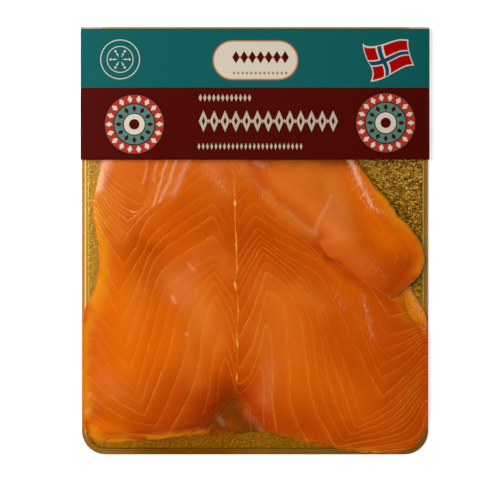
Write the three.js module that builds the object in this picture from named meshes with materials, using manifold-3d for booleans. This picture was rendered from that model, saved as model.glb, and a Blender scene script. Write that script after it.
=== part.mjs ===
// Pack of smoked salmon lying face up: a gold card board, slices of salmon laid over each other,
// a clear skin film over them and a printed card sleeve round the top end.
// Millimetres, +Z up, +Y towards the sleeve, +X to the right of the sleeve's print.
import * as THREE from 'three';
import { mergeVertices } from 'three/addons/utils/BufferGeometryUtils.js';
import Module from 'manifold-3d';

const wasm = await Module();
wasm.setup();

// Driving dimensions of the board
const boardWidth = 190;
const boardLength = 234.3;
const boardThick = 1.2;
const lowCornerRadius = 13;
const highCornerRadius = 15;

// Driving dimensions of the sleeve
const cardThick = 0.35;
const sleeveWidth = 191.3;
const sleeveLow = 44.3;
const sleeveHigh = 116.1;
const sleeveBackHigh = boardLength / 2;
const sleeveSideHeight = 3.7;
const sleeveCrown = 9.6;
const sleeveCrownPower = 4;
const foldRadius = 0.9;

// Driving dimensions of the slices and the film
const gap = 0.3;
const filmThick = 0.3;
const filmInset = 0.4;
const underSlice = { edge: 0.6, full: 1.2, round: 9 };
const mainSlice = { edge: 1.0, full: 2.5, round: 10 };
const flapSlice = { edge: 1.0, full: 2.1, round: 8 };
const pressedShare = 0.35;
const pressStart = 30;
const pressEnd = 70;

// The board climbs onto the sleeve's back panel over this stretch
const climbStart = 28;
const climbEnd = 42;
const climb = cardThick + gap;

// Every layer is draped on one grid, so that neighbours keep their gap
const gridStep = 8.2;
const gridHalfCols = 13;
const gridHalfRows = 16;
const beyondEdge = 1.45 * gridStep;
const fadeOut = 8;

// Round the board's rim every layer thins out, so that the film comes down to the card
const rimInside = 4;
const rimOutside = 3;

// How finely curves are cut into straight pieces
const piecesPerPoint = 3;
const piecesPerCorner = 6;
const piecesPerFold = 3;
const piecesOfFront = 28;
const mergeTolerance = 1e-5;
const cutterHeight = 4 * sleeveCrown;

// Outlines, as points on closed smooth curves
const underOutline = smoothOutline([
  [-57, 82], [-77, 6], [-91.5, -51], [-92.5, -98], [-86.5, -111], [-81.5, -111], [-71, -110.5],
  [-44, -107.5], [-10.5, -106], [4, -105], [31, -111.5], [74, -116.4], [87, -112.6], [92.6, -101.5],
  [93.4, -57], [92.8, -42.5], [89.5, -33], [84.5, -25], [68, -5], [41, 28], [24, 82],
]);
const mainOutline = smoothOutline([
  [-78, 103], [-84, 71], [-85, 40], [-88.5, 19.5], [-85.5, -8], [-87, -24], [-92.5, -40.5],
  [-93.8, -73], [-92.6, -100], [-86, -110], [-78.5, -108], [-57.5, -109], [-35, -105.5],
  [-22.5, -99], [-11.5, -87], [-2.5, -97], [8, -105], [27.5, -110], [49.5, -114], [71.5, -116.4],
  [86.5, -112.5], [92.4, -101.5], [93.6, -76], [93, -49], [85, -42], [81, -30], [71, -5],
  [46, 28], [27, 66], [20, 102],
]);
const flapOutline = smoothOutline([
  [-8, 93], [-9.5, 60], [-6, 39], [4, 25.5], [19, 13.5], [34.5, -1], [41, -10], [52, -16],
  [64, -24.5], [74.5, -30.5], [81.5, -26], [89, -19.5], [91.5, -9], [89, 1], [79.5, 11],
  [73, 19], [64, 32], [53, 50], [44, 74], [36, 97],
]);

// Bulges and valleys of the slices: a path, how far it spreads and how high it lifts
const mainRelief = [
  { path: [[-46, -72], [-40, -52]], spread: 30, lift: 1.0 },
  { path: [[30, -70], [22, -46]], spread: 34, lift: 1.0 },
  { path: [[-50, 34], [-34, 44]], spread: 26, lift: 0.8 },
  { path: [[-10.4, 28], [-10.4, -80]], spread: 7, lift: -0.6 },
  { path: [[-60, -5], [-44, 0], [-22, 9]], spread: 7, lift: -0.9 },
  { path: [[2, 14], [24, 0], [44, -12]], spread: 7, lift: -0.8 },
];
const flapRelief = [
  { path: [[18, 24], [40, 6], [66, -14]], spread: 15, lift: 0.7 },
];

function smoothOutline(points) {
  const corners = points.map(([x, y]) => new THREE.Vector3(x, y, 0));
  const curve = new THREE.CatmullRomCurve3(corners, true, 'centripetal');
  const samples = curve.getPoints(points.length * piecesPerPoint).slice(0, -1);
  return samples.map((p) => new THREE.Vector2(p.x, p.y));
}

function smoothStep(low, high, value) {
  const t = Math.min(1, Math.max(0, (value - low) / (high - low)));
  return t * t * (3 - 2 * t);
}

function distanceToSegment(x, y, a, b) {
  const dx = b[0] - a[0];
  const dy = b[1] - a[1];
  const along = ((x - a[0]) * dx + (y - a[1]) * dy) / (dx * dx + dy * dy);
  const t = Math.min(1, Math.max(0, along));
  return Math.hypot(x - a[0] - t * dx, y - a[1] - t * dy);
}

// Distance into an outline, negative outside it
function depthInside(outline, x, y) {
  let nearest = Infinity;
  let inside = false;
  outline.forEach((a, index) => {
    const b = outline[(index + 1) % outline.length];
    nearest = Math.min(nearest, distanceToSegment(x, y, [a.x, a.y], [b.x, b.y]));
    const crosses = (a.y > y) !== (b.y > y);
    if (crosses && x < a.x + ((y - a.y) * (b.x - a.x)) / (b.y - a.y)) {
      inside = !inside;
    }
  });
  return inside ? nearest : -nearest;
}

function reliefAt(features, x, y) {
  return features.reduce((sum, { path, spread, lift }) => {
    let nearest = Infinity;
    for (let i = 0; i + 1 < path.length; i += 1) {
      nearest = Math.min(nearest, distanceToSegment(x, y, path[i], path[i + 1]));
    }
    return sum + lift * Math.exp(-((nearest / spread) ** 2));
  }, 0);
}

function thinnedAtRim(x, y) {
  const beyondSide = Math.abs(x) - boardWidth / 2;
  const beyondEnd = Math.abs(y) - boardLength / 2;
  return 1 - smoothStep(-rimInside, rimOutside, Math.max(beyondSide, beyondEnd));
}

// Height that a slice adds to what it lies on: full inside, thin at its edge, none well outside
function addedHeight(outline, slice, relief, x, y) {
  const depth = depthInside(outline, x, y);
  const rounded = smoothStep(0, slice.round, depth);
  const pressed = 1 - pressedShare * smoothStep(pressStart, pressEnd, y);
  const body = (slice.full - slice.edge + reliefAt(relief, x, y)) * rounded * pressed;
  const present = smoothStep(-beyondEdge - fadeOut, -beyondEdge, depth);
  return (gap + slice.edge + body) * present * thinnedAtRim(x, y);
}

function boardUnderside(x, y) {
  return climb * smoothStep(climbStart, climbEnd, y);
}

function boardTop(x, y) {
  return boardUnderside(x, y) + boardThick;
}

function underTop(x, y) {
  return boardTop(x, y) + addedHeight(underOutline, underSlice, [], x, y);
}

function mainTop(x, y) {
  return underTop(x, y) + addedHeight(mainOutline, mainSlice, mainRelief, x, y);
}

function flapTop(x, y) {
  return mainTop(x, y) + addedHeight(flapOutline, flapSlice, flapRelief, x, y);
}

function raised(surface, lift) {
  return (x, y) => surface(x, y) + lift;
}

function gridLines(halfCount) {
  return Array.from({ length: 2 * halfCount + 1 }, (_, i) => (i - halfCount) * gridStep);
}

// Closed block between two height surfaces, both split into triangles alike
function blockBetween(columns, rows, bottom, top) {
  const positions = [];
  for (const surface of [bottom, top]) {
    for (const y of rows) {
      for (const x of columns) {
        positions.push(x, y, surface(x, y));
      }
    }
  }
  const layer = columns.length * rows.length;
  const at = (col, row, level) => level * layer + row * columns.length + col;
  const index = [];
  const quad = (a, b, c, d) => index.push(a, b, c, a, c, d);
  for (let row = 0; row + 1 < rows.length; row += 1) {
    for (let col = 0; col + 1 < columns.length; col += 1) {
      quad(at(col, row, 1), at(col + 1, row, 1), at(col + 1, row + 1, 1), at(col, row + 1, 1));
      index.push(at(col, row, 0), at(col + 1, row + 1, 0), at(col + 1, row, 0));
      index.push(at(col, row, 0), at(col, row + 1, 0), at(col + 1, row + 1, 0));
    }
  }
  const lastCol = columns.length - 1;
  const lastRow = rows.length - 1;
  for (let col = 0; col < lastCol; col += 1) {
    quad(at(col, 0, 0), at(col + 1, 0, 0), at(col + 1, 0, 1), at(col, 0, 1));
    quad(at(col + 1, lastRow, 0), at(col, lastRow, 0), at(col, lastRow, 1), at(col + 1, lastRow, 1));
  }
  for (let row = 0; row < lastRow; row += 1) {
    quad(at(0, row + 1, 0), at(0, row, 0), at(0, row, 1), at(0, row + 1, 1));
    quad(at(lastCol, row, 0), at(lastCol, row + 1, 0), at(lastCol, row + 1, 1), at(lastCol, row, 1));
  }
  const geometry = new THREE.BufferGeometry();
  geometry.setAttribute('position', new THREE.Float32BufferAttribute(positions, 3));
  geometry.setIndex(index);
  return geometry;
}

function toSolid(geometry) {
  const bare = geometry.clone();
  bare.deleteAttribute('normal');
  bare.deleteAttribute('uv');
  const merged = mergeVertices(bare, mergeTolerance);
  return new wasm.Manifold(new wasm.Mesh({
    numProp: 3,
    vertProperties: new Float32Array(merged.attributes.position.array),
    triVerts: new Uint32Array(merged.index.array),
  }));
}

function toGeometry(solid) {
  const mesh = solid.getMesh();
  const geometry = new THREE.BufferGeometry();
  geometry.setAttribute('position', new THREE.Float32BufferAttribute(mesh.vertProperties, 3));
  geometry.setIndex(Array.from(mesh.triVerts));
  return geometry;
}

// Upright prism of an outline, tall enough to cut any layer
function prismOf(shape) {
  const options = { depth: cutterHeight, bevelEnabled: false, curveSegments: piecesPerCorner };
  return new THREE.ExtrudeGeometry(shape, options).translate(0, 0, -cutterHeight / 2);
}

function cutToOutline(block, shape) {
  return toGeometry(toSolid(block).intersect(toSolid(prismOf(shape))));
}

function boardShape(inset) {
  const x = boardWidth / 2 - inset;
  const y = boardLength / 2 - inset;
  const low = lowCornerRadius - inset;
  const high = highCornerRadius - inset;
  const shape = new THREE.Shape();
  shape.moveTo(-x + low, -y);
  shape.lineTo(x - low, -y);
  shape.absarc(x - low, -y + low, low, -Math.PI / 2, 0, false);
  shape.lineTo(x, y - high);
  shape.absarc(x - high, y - high, high, 0, Math.PI / 2, false);
  shape.lineTo(-x + high, y);
  shape.absarc(-x + high, y - high, high, Math.PI / 2, Math.PI, false);
  shape.lineTo(-x, -y + low);
  shape.absarc(-x + low, -y + low, low, Math.PI, 1.5 * Math.PI, false);
  return shape;
}

function boardGeometry() {
  const edges = [-boardWidth, boardWidth];
  const block = blockBetween(edges, gridLines(gridHalfRows), boardUnderside, boardTop);
  return cutToOutline(block, boardShape(0));
}

function layerGeometry(bottom, top, shape) {
  const block = blockBetween(gridLines(gridHalfCols), gridLines(gridHalfRows), bottom, top);
  return cutToOutline(block, shape);
}

// Section of the sleeve's card, a closed loop shrunk by the card's thickness for its inner side
function sleeveSection(inset, Contour) {
  const x = sleeveWidth / 2 - inset;
  const side = sleeveSideHeight - inset;
  const rise = sleeveCrown - sleeveSideHeight;
  const radius = foldRadius - inset;
  const section = new Contour();
  section.moveTo(-x + radius, inset);
  section.lineTo(x - radius, inset);
  section.absarc(x - radius, inset + radius, radius, -Math.PI / 2, 0, false);
  section.lineTo(x, side - radius);
  for (let i = 0; i <= piecesOfFront; i += 1) {
    const u = Math.cos((Math.PI * i) / piecesOfFront);
    section.lineTo(u * (x - radius / 2), side + rise * (1 - Math.abs(u) ** sleeveCrownPower));
  }
  section.lineTo(-x, side - radius);
  section.lineTo(-x, inset + radius);
  section.absarc(-x + radius, inset + radius, radius, Math.PI, 1.5 * Math.PI, false);
  return section;
}

function sleeveGeometry() {
  const section = sleeveSection(0, THREE.Shape);
  section.holes.push(sleeveSection(cardThick, THREE.Path));
  const depth = sleeveBackHigh - sleeveLow;
  const options = { depth, bevelEnabled: false, curveSegments: piecesPerFold };
  const band = new THREE.ExtrudeGeometry(section, options);
  band.rotateX(Math.PI / 2).translate(0, sleeveBackHigh, 0);

  // The front panel and the side folds stop short of the back panel's top edge
  const trim = new THREE.BoxGeometry(2 * sleeveWidth, sleeveBackHigh, cutterHeight);
  trim.translate(0, sleeveHigh + sleeveBackHigh / 2, cutterHeight / 2 + foldRadius);
  return toGeometry(toSolid(band).subtract(toSolid(trim)));
}

function part(name, geometry, colour, roughness, metalness) {
  const material = new THREE.MeshStandardMaterial({ color: colour, roughness, metalness });
  const mesh = new THREE.Mesh(geometry, material);
  mesh.name = name;
  return mesh;
}

const pack = new THREE.Group();
pack.add(
  part('board', boardGeometry(), 0xb98a2e, 0.35, 0.9),
  part(
    'slice_under',
    layerGeometry(raised(boardTop, gap), underTop, new THREE.Shape(underOutline)),
    0xc8620a, 0.4, 0,
  ),
  part(
    'slice_main',
    layerGeometry(raised(underTop, gap), mainTop, new THREE.Shape(mainOutline)),
    0xcc5f0c, 0.35, 0,
  ),
  part(
    'slice_flap',
    layerGeometry(raised(mainTop, gap), flapTop, new THREE.Shape(flapOutline)),
    0xd06a1a, 0.35, 0,
  ),
  part(
    'film',
    layerGeometry(raised(flapTop, gap), raised(flapTop, gap + filmThick), boardShape(filmInset)),
    0xf2ece4, 0.15, 0,
  ),
  part('sleeve', sleeveGeometry(), 0x1d5f5c, 0.45, 0),
);

export default pack;
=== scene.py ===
"""Looks of a pack of smoked salmon: slices under skin film on a gold board, in a printed card sleeve."""

import math

import bmesh
import bpy
import numpy as np
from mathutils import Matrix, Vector
from mathutils.bvhtree import BVHTree
from mathutils.geometry import delaunay_2d_cdt


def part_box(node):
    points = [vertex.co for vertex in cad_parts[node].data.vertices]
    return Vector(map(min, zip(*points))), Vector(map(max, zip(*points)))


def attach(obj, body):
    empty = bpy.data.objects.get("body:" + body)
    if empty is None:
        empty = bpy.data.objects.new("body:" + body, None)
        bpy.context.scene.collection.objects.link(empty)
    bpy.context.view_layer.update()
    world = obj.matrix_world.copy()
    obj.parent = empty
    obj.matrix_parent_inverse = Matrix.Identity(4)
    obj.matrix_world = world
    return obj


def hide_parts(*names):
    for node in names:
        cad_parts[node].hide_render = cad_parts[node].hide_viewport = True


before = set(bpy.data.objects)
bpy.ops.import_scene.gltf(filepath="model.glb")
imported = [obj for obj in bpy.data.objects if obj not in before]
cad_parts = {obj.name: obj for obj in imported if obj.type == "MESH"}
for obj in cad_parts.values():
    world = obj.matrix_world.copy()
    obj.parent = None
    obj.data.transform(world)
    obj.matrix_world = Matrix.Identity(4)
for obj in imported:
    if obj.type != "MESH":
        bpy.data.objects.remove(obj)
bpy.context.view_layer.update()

# Lengths in the arrays below are millimetres, and meshes are made in metres
MM = 0.001
BOARD_LOW, BOARD_HIGH = (np.array(corner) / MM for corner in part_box("board"))
SLEEVE_LOW, SLEEVE_HIGH = (np.array(corner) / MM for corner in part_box("sleeve"))

# The photograph's scale: the board is this many pixels wide, and this pixel is its middle
PHOTO_PIXELS = 500
BOARD_PIXELS = 346.5
MIDDLE_PIXEL = np.array([255.05, 240.75])
PIXEL = (BOARD_HIGH[0] - BOARD_LOW[0]) / BOARD_PIXELS

# Sizes that the frame's boxes don't give
BOARD_CORNER_LOW = 13.0
BOARD_CORNER_HIGH = 15.0
RIM_WIDTH = 2.6
RIM_DROP = 0.2
RIM_DEPTH = 1.15
SLICE_EDGE = 3.2
CUT_EDGE = 0.9
RAGGED_MOST = 0.35
BULGE_MOST = 1.9
GAP = 0.3
FILM_THICK = 0.05
FILM_CLEAR = 0.12
CARD_THICK = 0.33
CARD_INSET = 0.12
PRINT_THICK = 0.05
MARK_THICK = 0.04
SLEEVE_SIDE = 3.7
SLEEVE_FOLD = 0.9
SLEEVE_FRONT_TOP = 116.1

# Sizes of the meshes' own faces
BOARD_STEP = 1.1
UNDER_STEP = 0.9
SLICE_STEP = 0.7
FILM_STEP = 1.25
HEIGHT_STEP = 2.0

# A slab's underside keeps one inner corner in this many
UNDERSIDE_EVERY = 23


# Numbers, curves and fields

def from_photo(points):
    """Photograph pixels as millimetres on the pack."""
    return (np.asarray(points, float) - MIDDLE_PIXEL) * (PIXEL, -PIXEL)


def smoothstep(low, high, value):
    t = np.clip((value - low) / (high - low), 0, 1)
    return t * t * (3 - 2 * t)


def smooth_curve(points, pieces, closed=False):
    """Catmull-Rom curve through points, cut into that many pieces between each two."""
    p = np.asarray(points, float)
    if closed:
        p = np.vstack([p[-1], p, p[0], p[1]])
    else:
        p = np.vstack([2 * p[0] - p[1], p, 2 * p[-1] - p[-2]])
    t = np.arange(pieces)[:, None] / pieces
    cut = []
    for a, b, c, d in zip(p, p[1:], p[2:], p[3:]):
        bend = (2 * a - 5 * b + 4 * c - d) * t + (3 * b - a - 3 * c + d) * t * t
        cut.append(b + 0.5 * t * ((c - a) + bend))
    if not closed:
        cut.append(p[-2][None])
    return np.vstack(cut)


def evenly(line, step, closed=False):
    """The same line with its points a step apart."""
    p = np.vstack([line, line[:1]]) if closed else np.asarray(line)
    length = np.concatenate([[0], np.cumsum(np.linalg.norm(np.diff(p, axis=0), axis=1))])
    count = max(2, int(round(length[-1] / step)))
    at = np.linspace(0, length[-1], count + 1)[: count if closed else count + 1]
    return np.stack([np.interp(at, length, axis) for axis in p.T], 1)


def near_line(x, y, line):
    """Distance to a line of points, and the nearest point of the line."""
    nearest = np.full(x.shape, 1e9)
    near_x, near_y = x.copy(), y.copy()
    for a, b in zip(line, line[1:]):
        d = b - a
        t = np.clip(((x - a[0]) * d[0] + (y - a[1]) * d[1]) / max(d @ d, 1e-12), 0, 1)
        px, py = a[0] + t * d[0], a[1] + t * d[1]
        distance = np.hypot(x - px, y - py)
        closer = distance < nearest
        nearest = np.where(closer, distance, nearest)
        near_x = np.where(closer, px, near_x)
        near_y = np.where(closer, py, near_y)
    return nearest, near_x, near_y


def closed_line(loop):
    return np.vstack([loop, loop[:1]])


def inside(x, y, loop):
    """True where a point lies in a closed loop."""
    found = np.zeros(x.shape, bool)
    for a, b in zip(loop, np.roll(loop, -1, 0)):
        if a[1] != b[1]:
            crosses = (a[1] > y) != (b[1] > y)
            found ^= crosses & (x < a[0] + (y - a[1]) * (b[0] - a[0]) / (b[1] - a[1]))
    return found


def noise(x, y, size, seed):
    """Smooth noise from -1 to 1 whose bumps are about that many millimetres apart."""
    lattice = np.random.default_rng(seed).uniform(-1, 1, (64, 64))
    u, v = x / size + 1000.5, y / size + 1000.5
    i, j = np.floor(u).astype(int), np.floor(v).astype(int)
    a, b = smoothstep(0, 1, u - i), smoothstep(0, 1, v - j)
    low = lattice[j % 64, i % 64] * (1 - a) + lattice[j % 64, (i + 1) % 64] * a
    high = lattice[(j + 1) % 64, i % 64] * (1 - a) + lattice[(j + 1) % 64, (i + 1) % 64] * a
    return low * (1 - b) + high * b


def blurred(values, pixels):
    """Gaussian blur of a grid, by that many of its own steps."""
    reach = int(3 * pixels) + 1
    weights = np.exp(-0.5 * (np.arange(-reach, reach + 1) / pixels) ** 2)
    weights /= weights.sum()
    for axis in (0, 1):
        length = values.shape[axis]
        pads = [(reach, reach) if k == axis else (0, 0) for k in (0, 1)]
        padded = np.pad(values, pads, "edge")
        values = sum(w * padded.take(range(k, k + length), axis) for k, w in enumerate(weights))
    return values


def spline_weights(t):
    return (
        (1 - t) ** 3 / 6,
        (3 * t**3 - 6 * t**2 + 4) / 6,
        (3 * (1 - t) ** 3 - 6 * (1 - t) ** 2 + 4) / 6,
        t**3 / 6,
    )


class Field:
    """Values on a grid over the board, read smoothly between its points."""

    def __init__(self, step, margin=8.0):
        self.step = step
        self.low = BOARD_LOW[:2] - margin
        count = np.ceil((BOARD_HIGH[:2] + margin - self.low) / step).astype(int) + 1
        axes = [self.low[k] + step * np.arange(count[k]) for k in (0, 1)]
        self.x, self.y = np.meshgrid(*axes)
        self.values = np.zeros(self.x.shape)

    def at(self, x, y):
        """Cubic B-spline through the grid, which also rounds off its corners."""
        u, v = (x - self.low[0]) / self.step, (y - self.low[1]) / self.step
        i, j = np.floor(u).astype(int), np.floor(v).astype(int)
        rows, columns = self.values.shape
        total = np.zeros(np.shape(x))
        for dj, wj in enumerate(spline_weights(v - j), -1):
            for di, wi in enumerate(spline_weights(u - i), -1):
                row = np.clip(j + dj, 0, rows - 1)
                column = np.clip(i + di, 0, columns - 1)
                total += wi * wj * self.values[row, column]
        return total

    def fill(self, known):
        """Spreads the known values over the unknown ones."""
        values = np.where(known, self.values, 0.0)
        weight = known.astype(float)
        spread = 1.0
        for _ in range(9):
            soft, share = blurred(values, spread), blurred(weight, spread)
            new = (weight == 0) & (share > 1e-4)
            values = np.where(new, soft / np.maximum(share, 1e-9), values)
            weight = np.where(new, 1.0, weight)
            spread *= 1.6
        for _ in range(20):
            values = np.where(known, values, blurred(values, 1.5))
        self.values = values


# What the frame's solids say

def solid_of(node):
    """A node's merged corners in millimetres and its triangles."""
    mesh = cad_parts[node].data
    mesh.calc_loop_triangles()
    corners = np.array([v.co for v in mesh.vertices]) / MM
    triangles = np.array([t.vertices for t in mesh.loop_triangles])
    merged, index = np.unique(np.round(corners, 3), axis=0, return_inverse=True)
    return merged, index.reshape(-1)[triangles]


def outline_of(node):
    """The loop round a node's upper side, as a smooth line that runs anticlockwise."""
    corners, triangles = solid_of(node)
    a, b, c = (corners[triangles[:, k]] for k in (0, 1, 2))
    normal = np.cross(b - a, c - a)
    upper = triangles[normal[:, 2] > 0.3 * np.linalg.norm(normal, axis=1)]
    edges = {(t[k], t[(k + 1) % 3]) for t in upper.tolist() for k in (0, 1, 2)}
    follows = {start: end for start, end in sorted(edges) if (end, start) not in edges}
    loops = []
    while follows:
        start = min(follows)
        loop, at = [start], follows.pop(start)
        while at in follows:
            loop.append(at)
            at = follows.pop(at)
        loops.append(corners[loop][:, :2])
    loop = max(loops, key=len)
    before, after = loop - np.roll(loop, 1, 0), np.roll(loop, -1, 0) - loop
    turn = np.abs(before[:, 0] * after[:, 1] - before[:, 1] * after[:, 0])
    kept = turn > 0.02 * np.hypot(*before.T) * np.hypot(*after.T)
    return evenly(smooth_curve(loop[kept], 8, closed=True), 1.0, closed=True)


def height_of(node, upward, soften=1.5):
    """The node's upper or lower side as a smooth field of heights."""
    corners, triangles = solid_of(node)
    tree = BVHTree.FromPolygons(corners.tolist(), triangles.tolist())
    field = Field(HEIGHT_STEP)
    start, way = (50.0, -1.0) if upward else (-50.0, 1.0)
    known = np.zeros(field.x.shape, bool)
    for (row, column), x in np.ndenumerate(field.x):
        hit = tree.ray_cast((x, field.y[row, column], start), (0, 0, way))[0]
        if hit is not None:
            field.values[row, column] = hit.z
            known[row, column] = True
    field.fill(known)
    field.values = blurred(field.values, soften)
    return field


# Meshes

def placed(name, data):
    """A new object in the scene, made of a mesh, a light or a camera."""
    made = bpy.data.objects.new(name, data)
    bpy.context.scene.collection.objects.link(made)
    return made


def add_attribute(mesh, name, values):
    layer = mesh.attributes.new(name, "FLOAT", "POINT")
    layer.data.foreach_set("value", np.asarray(values, np.float32))


def piece(name, vertices, faces, materials, attributes=None, indices=None, soft=None):
    """A mesh piece at the origin, from corners in millimetres, with that many first faces soft."""
    mesh = bpy.data.meshes.new(name)
    mesh.from_pydata((np.asarray(vertices) * MM).tolist(), [], faces)
    for material in materials:
        mesh.materials.append(material)
    for key, values in (attributes or {}).items():
        add_attribute(mesh, key, values)
    if indices is not None:
        mesh.polygons.foreach_set("material_index", indices)
    soft = len(faces) if soft is None else soft
    mesh.polygons.foreach_set("use_smooth", np.arange(len(faces)) < soft)
    mesh.update()
    return placed(name, mesh)


def patch_in(loop, step):
    """Grid cells whose middles lie in a loop, with the rim's corners moved onto the loop."""
    low, high = loop.min(0) - 2 * step, loop.max(0) + 2 * step
    x, y = np.meshgrid(*(np.arange(low[k], high[k], step) for k in (0, 1)))
    half = step / 2
    kept = inside(x[:-1, :-1] + half, y[:-1, :-1] + half, loop)
    number = np.arange(x.size).reshape(x.shape)
    around = [number[:-1, :-1], number[:-1, 1:], number[1:, 1:], number[1:, :-1]]
    quads = np.stack(around, -1)[kept]
    used, index = np.unique(quads, return_inverse=True)
    quads = index.reshape(quads.shape)
    x, y = x.ravel()[used], y.ravel()[used]
    rim = np.bincount(quads.ravel(), minlength=len(x)) < 4
    _, x[rim], y[rim] = near_line(x[rim], y[rim], closed_line(loop))
    return x, y, quads


def rim_edges(faces):
    """The directed edges round a patch of faces."""
    edges = np.concatenate([faces[:, [k, (k + 1) % faces.shape[1]]] for k in range(faces.shape[1])])
    key = edges[:, 0].astype(np.int64) << 32 | edges[:, 1]
    back = edges[:, 1].astype(np.int64) << 32 | edges[:, 0]
    return edges[~np.isin(key, back)]


def shell(faces, count):
    """Faces of a closed shell from its upper ones: walls, and the same faces turned down below."""
    walls = [[b, a, count + a, count + b] for a, b in rim_edges(faces).tolist()]
    return faces.tolist() + walls + (count + faces[:, ::-1]).tolist()


def slab(patch, top, bottom):
    """Corners and faces of a closed slab whose underside has few faces, and each corner's source."""
    x, y, quads = patch
    edges = rim_edges(quads)
    rim = np.unique(edges)
    inner = np.setdiff1d(np.arange(0, len(x), UNDERSIDE_EVERY), rim)
    picked = np.concatenate([rim, inner])
    place = {corner: k for k, corner in enumerate(picked.tolist())}
    sides = [(place[a], place[b]) for a, b in edges.tolist()]
    points = [Vector((x[k], y[k])) for k in picked]
    made = delaunay_2d_cdt(points, sides, [], 1, 1e-6)
    under = {}
    for k, origins in enumerate(made[3]):
        under.update({origin: k for origin in origins})
    source = picked[[origins[0] if origins else 0 for origins in made[3]]]
    count = len(x)
    walls = [[b, a, count + under[place[a]], count + under[place[b]]] for a, b in edges.tolist()]
    floor = [[count + k for k in reversed(face)] for face in made[2]]
    vertices = np.vstack([
        np.stack([x, y, top], 1),
        np.stack([x[source], y[source], bottom[source]], 1),
    ])
    return vertices, quads.tolist() + walls + floor, np.concatenate([np.arange(count), source])


def rounded_board(inset):
    """The board's outline, pulled in by that much, from its lower left corner round."""
    x, y = BOARD_HIGH[:2] - inset
    loop = []
    for sx, sy, radius, start in (
        (-1, -1, BOARD_CORNER_LOW, 180),
        (1, -1, BOARD_CORNER_LOW, 270),
        (1, 1, BOARD_CORNER_HIGH, 0),
        (-1, 1, BOARD_CORNER_HIGH, 90),
    ):
        angle = np.radians(start + np.linspace(0, 90, 13))
        r = radius - inset
        loop.append(np.stack([sx * (x - r) + r * np.cos(angle), sy * (y - r) + r * np.sin(angle)], 1))
    return np.vstack(loop)


def from_edge(x, y):
    """Distance to the board's outline."""
    return near_line(x, y, closed_line(rounded_board(0)))[0]


# Node trees

def linear(red, green, blue):
    """A screen colour from 0 to 255 as a material's colour."""
    values = np.array([red, green, blue]) / 255
    low = values <= 0.04045
    return (*np.where(low, values / 12.92, ((values + 0.055) / 1.055) ** 2.4).tolist(), 1.0)


class Graph:
    """A short way to write a node tree."""

    def __init__(self, tree):
        self.tree = tree

    def join(self, value, socket):
        if isinstance(value, bpy.types.NodeSocket):
            self.tree.links.new(value, socket)
        else:
            socket.default_value = value

    def node(self, kind, inputs=None, **settings):
        made = self.tree.nodes.new(kind)
        for key, value in settings.items():
            setattr(made, key, value)
        for key, value in (inputs or {}).items():
            self.join(value, made.inputs[key])
        return made

    def math(self, operation, *values, clamp=False):
        made = self.node("ShaderNodeMath", dict(enumerate(values)), operation=operation)
        made.use_clamp = clamp
        return made.outputs[0]

    def times(self, a, b):
        return self.math("MULTIPLY", a, b)

    def plus(self, a, b, clamp=False):
        return self.math("ADD", a, b, clamp=clamp)

    def minus(self, a, b, clamp=False):
        return self.math("SUBTRACT", a, b, clamp=clamp)

    def swing(self, value, middle, share):
        """How far a value lies from its middle, times a share."""
        return self.times(self.minus(value, middle), share)

    def mix(self, amount, a, b):
        made = self.node("ShaderNodeMix", data_type="RGBA")
        for value, key in ((amount, 0), (a, 6), (b, 7)):
            self.join(value, made.inputs[key])
        return made.outputs[2]

    def spread(self, value, low, high, to_low=0.0, to_high=1.0):
        inputs = {0: value, 1: low, 2: high, 3: to_low, 4: to_high}
        return self.node("ShaderNodeMapRange", inputs, interpolation_type="SMOOTHSTEP").outputs[0]

    def place(self, scale=(1, 1, 1), turn=0.0):
        """Object coordinates in millimetres, stretched and turned."""
        where = self.node("ShaderNodeTexCoord").outputs["Object"]
        size = [k / MM for k in scale]
        made = self.node("ShaderNodeMapping", {0: where, 2: (0, 0, math.radians(turn)), 3: size})
        return made.outputs[0]

    def noise(self, where, size, detail=2.0, roughness=0.5, distortion=0.0):
        """Noise from 0 to 1 whose bumps are about that many millimetres apart."""
        inputs = {
            "Vector": where, "Scale": 1 / size, "Detail": detail,
            "Roughness": roughness, "Distortion": distortion,
        }
        return self.node("ShaderNodeTexNoise", inputs).outputs["Fac"]

    def value(self, name):
        return self.node("ShaderNodeAttribute", attribute_name=name).outputs["Fac"]

    def bump(self, height, strength, millimetres):
        inputs = {"Height": height, "Strength": strength, "Distance": millimetres * MM}
        return self.node("ShaderNodeBump", inputs).outputs[0]

    def position(self):
        """The three axes of a geometry's own points."""
        where = self.node("GeometryNodeInputPosition").outputs[0]
        return self.node("ShaderNodeSeparateXYZ", {0: where}).outputs


def shader_group(name, inputs, outputs):
    """An empty shader node group with its sockets, its graph and its input and output nodes."""
    tree = bpy.data.node_groups.new(name, "ShaderNodeTree")
    for socket, kind, value in inputs:
        made = tree.interface.new_socket(socket, in_out="INPUT", socket_type=kind)
        made.default_value = value
    for socket, kind in outputs:
        tree.interface.new_socket(socket, in_out="OUTPUT", socket_type=kind)
    graph = Graph(tree)
    return tree, graph, graph.node("NodeGroupInput"), graph.node("NodeGroupOutput")


def material(name):
    """A new material, its graph and its Principled shader."""
    made = bpy.data.materials.new(name)
    made.use_nodes = True
    return made, Graph(made.node_tree), made.node_tree.nodes["Principled BSDF"]


def dress(graph, shader, colour, roughness, normal):
    """Gives a shader its colour, roughness and normal."""
    for value, name in ((colour, "Base Color"), (roughness, "Roughness"), (normal, "Normal")):
        graph.join(value, shader.inputs[name])


# Materials

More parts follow.
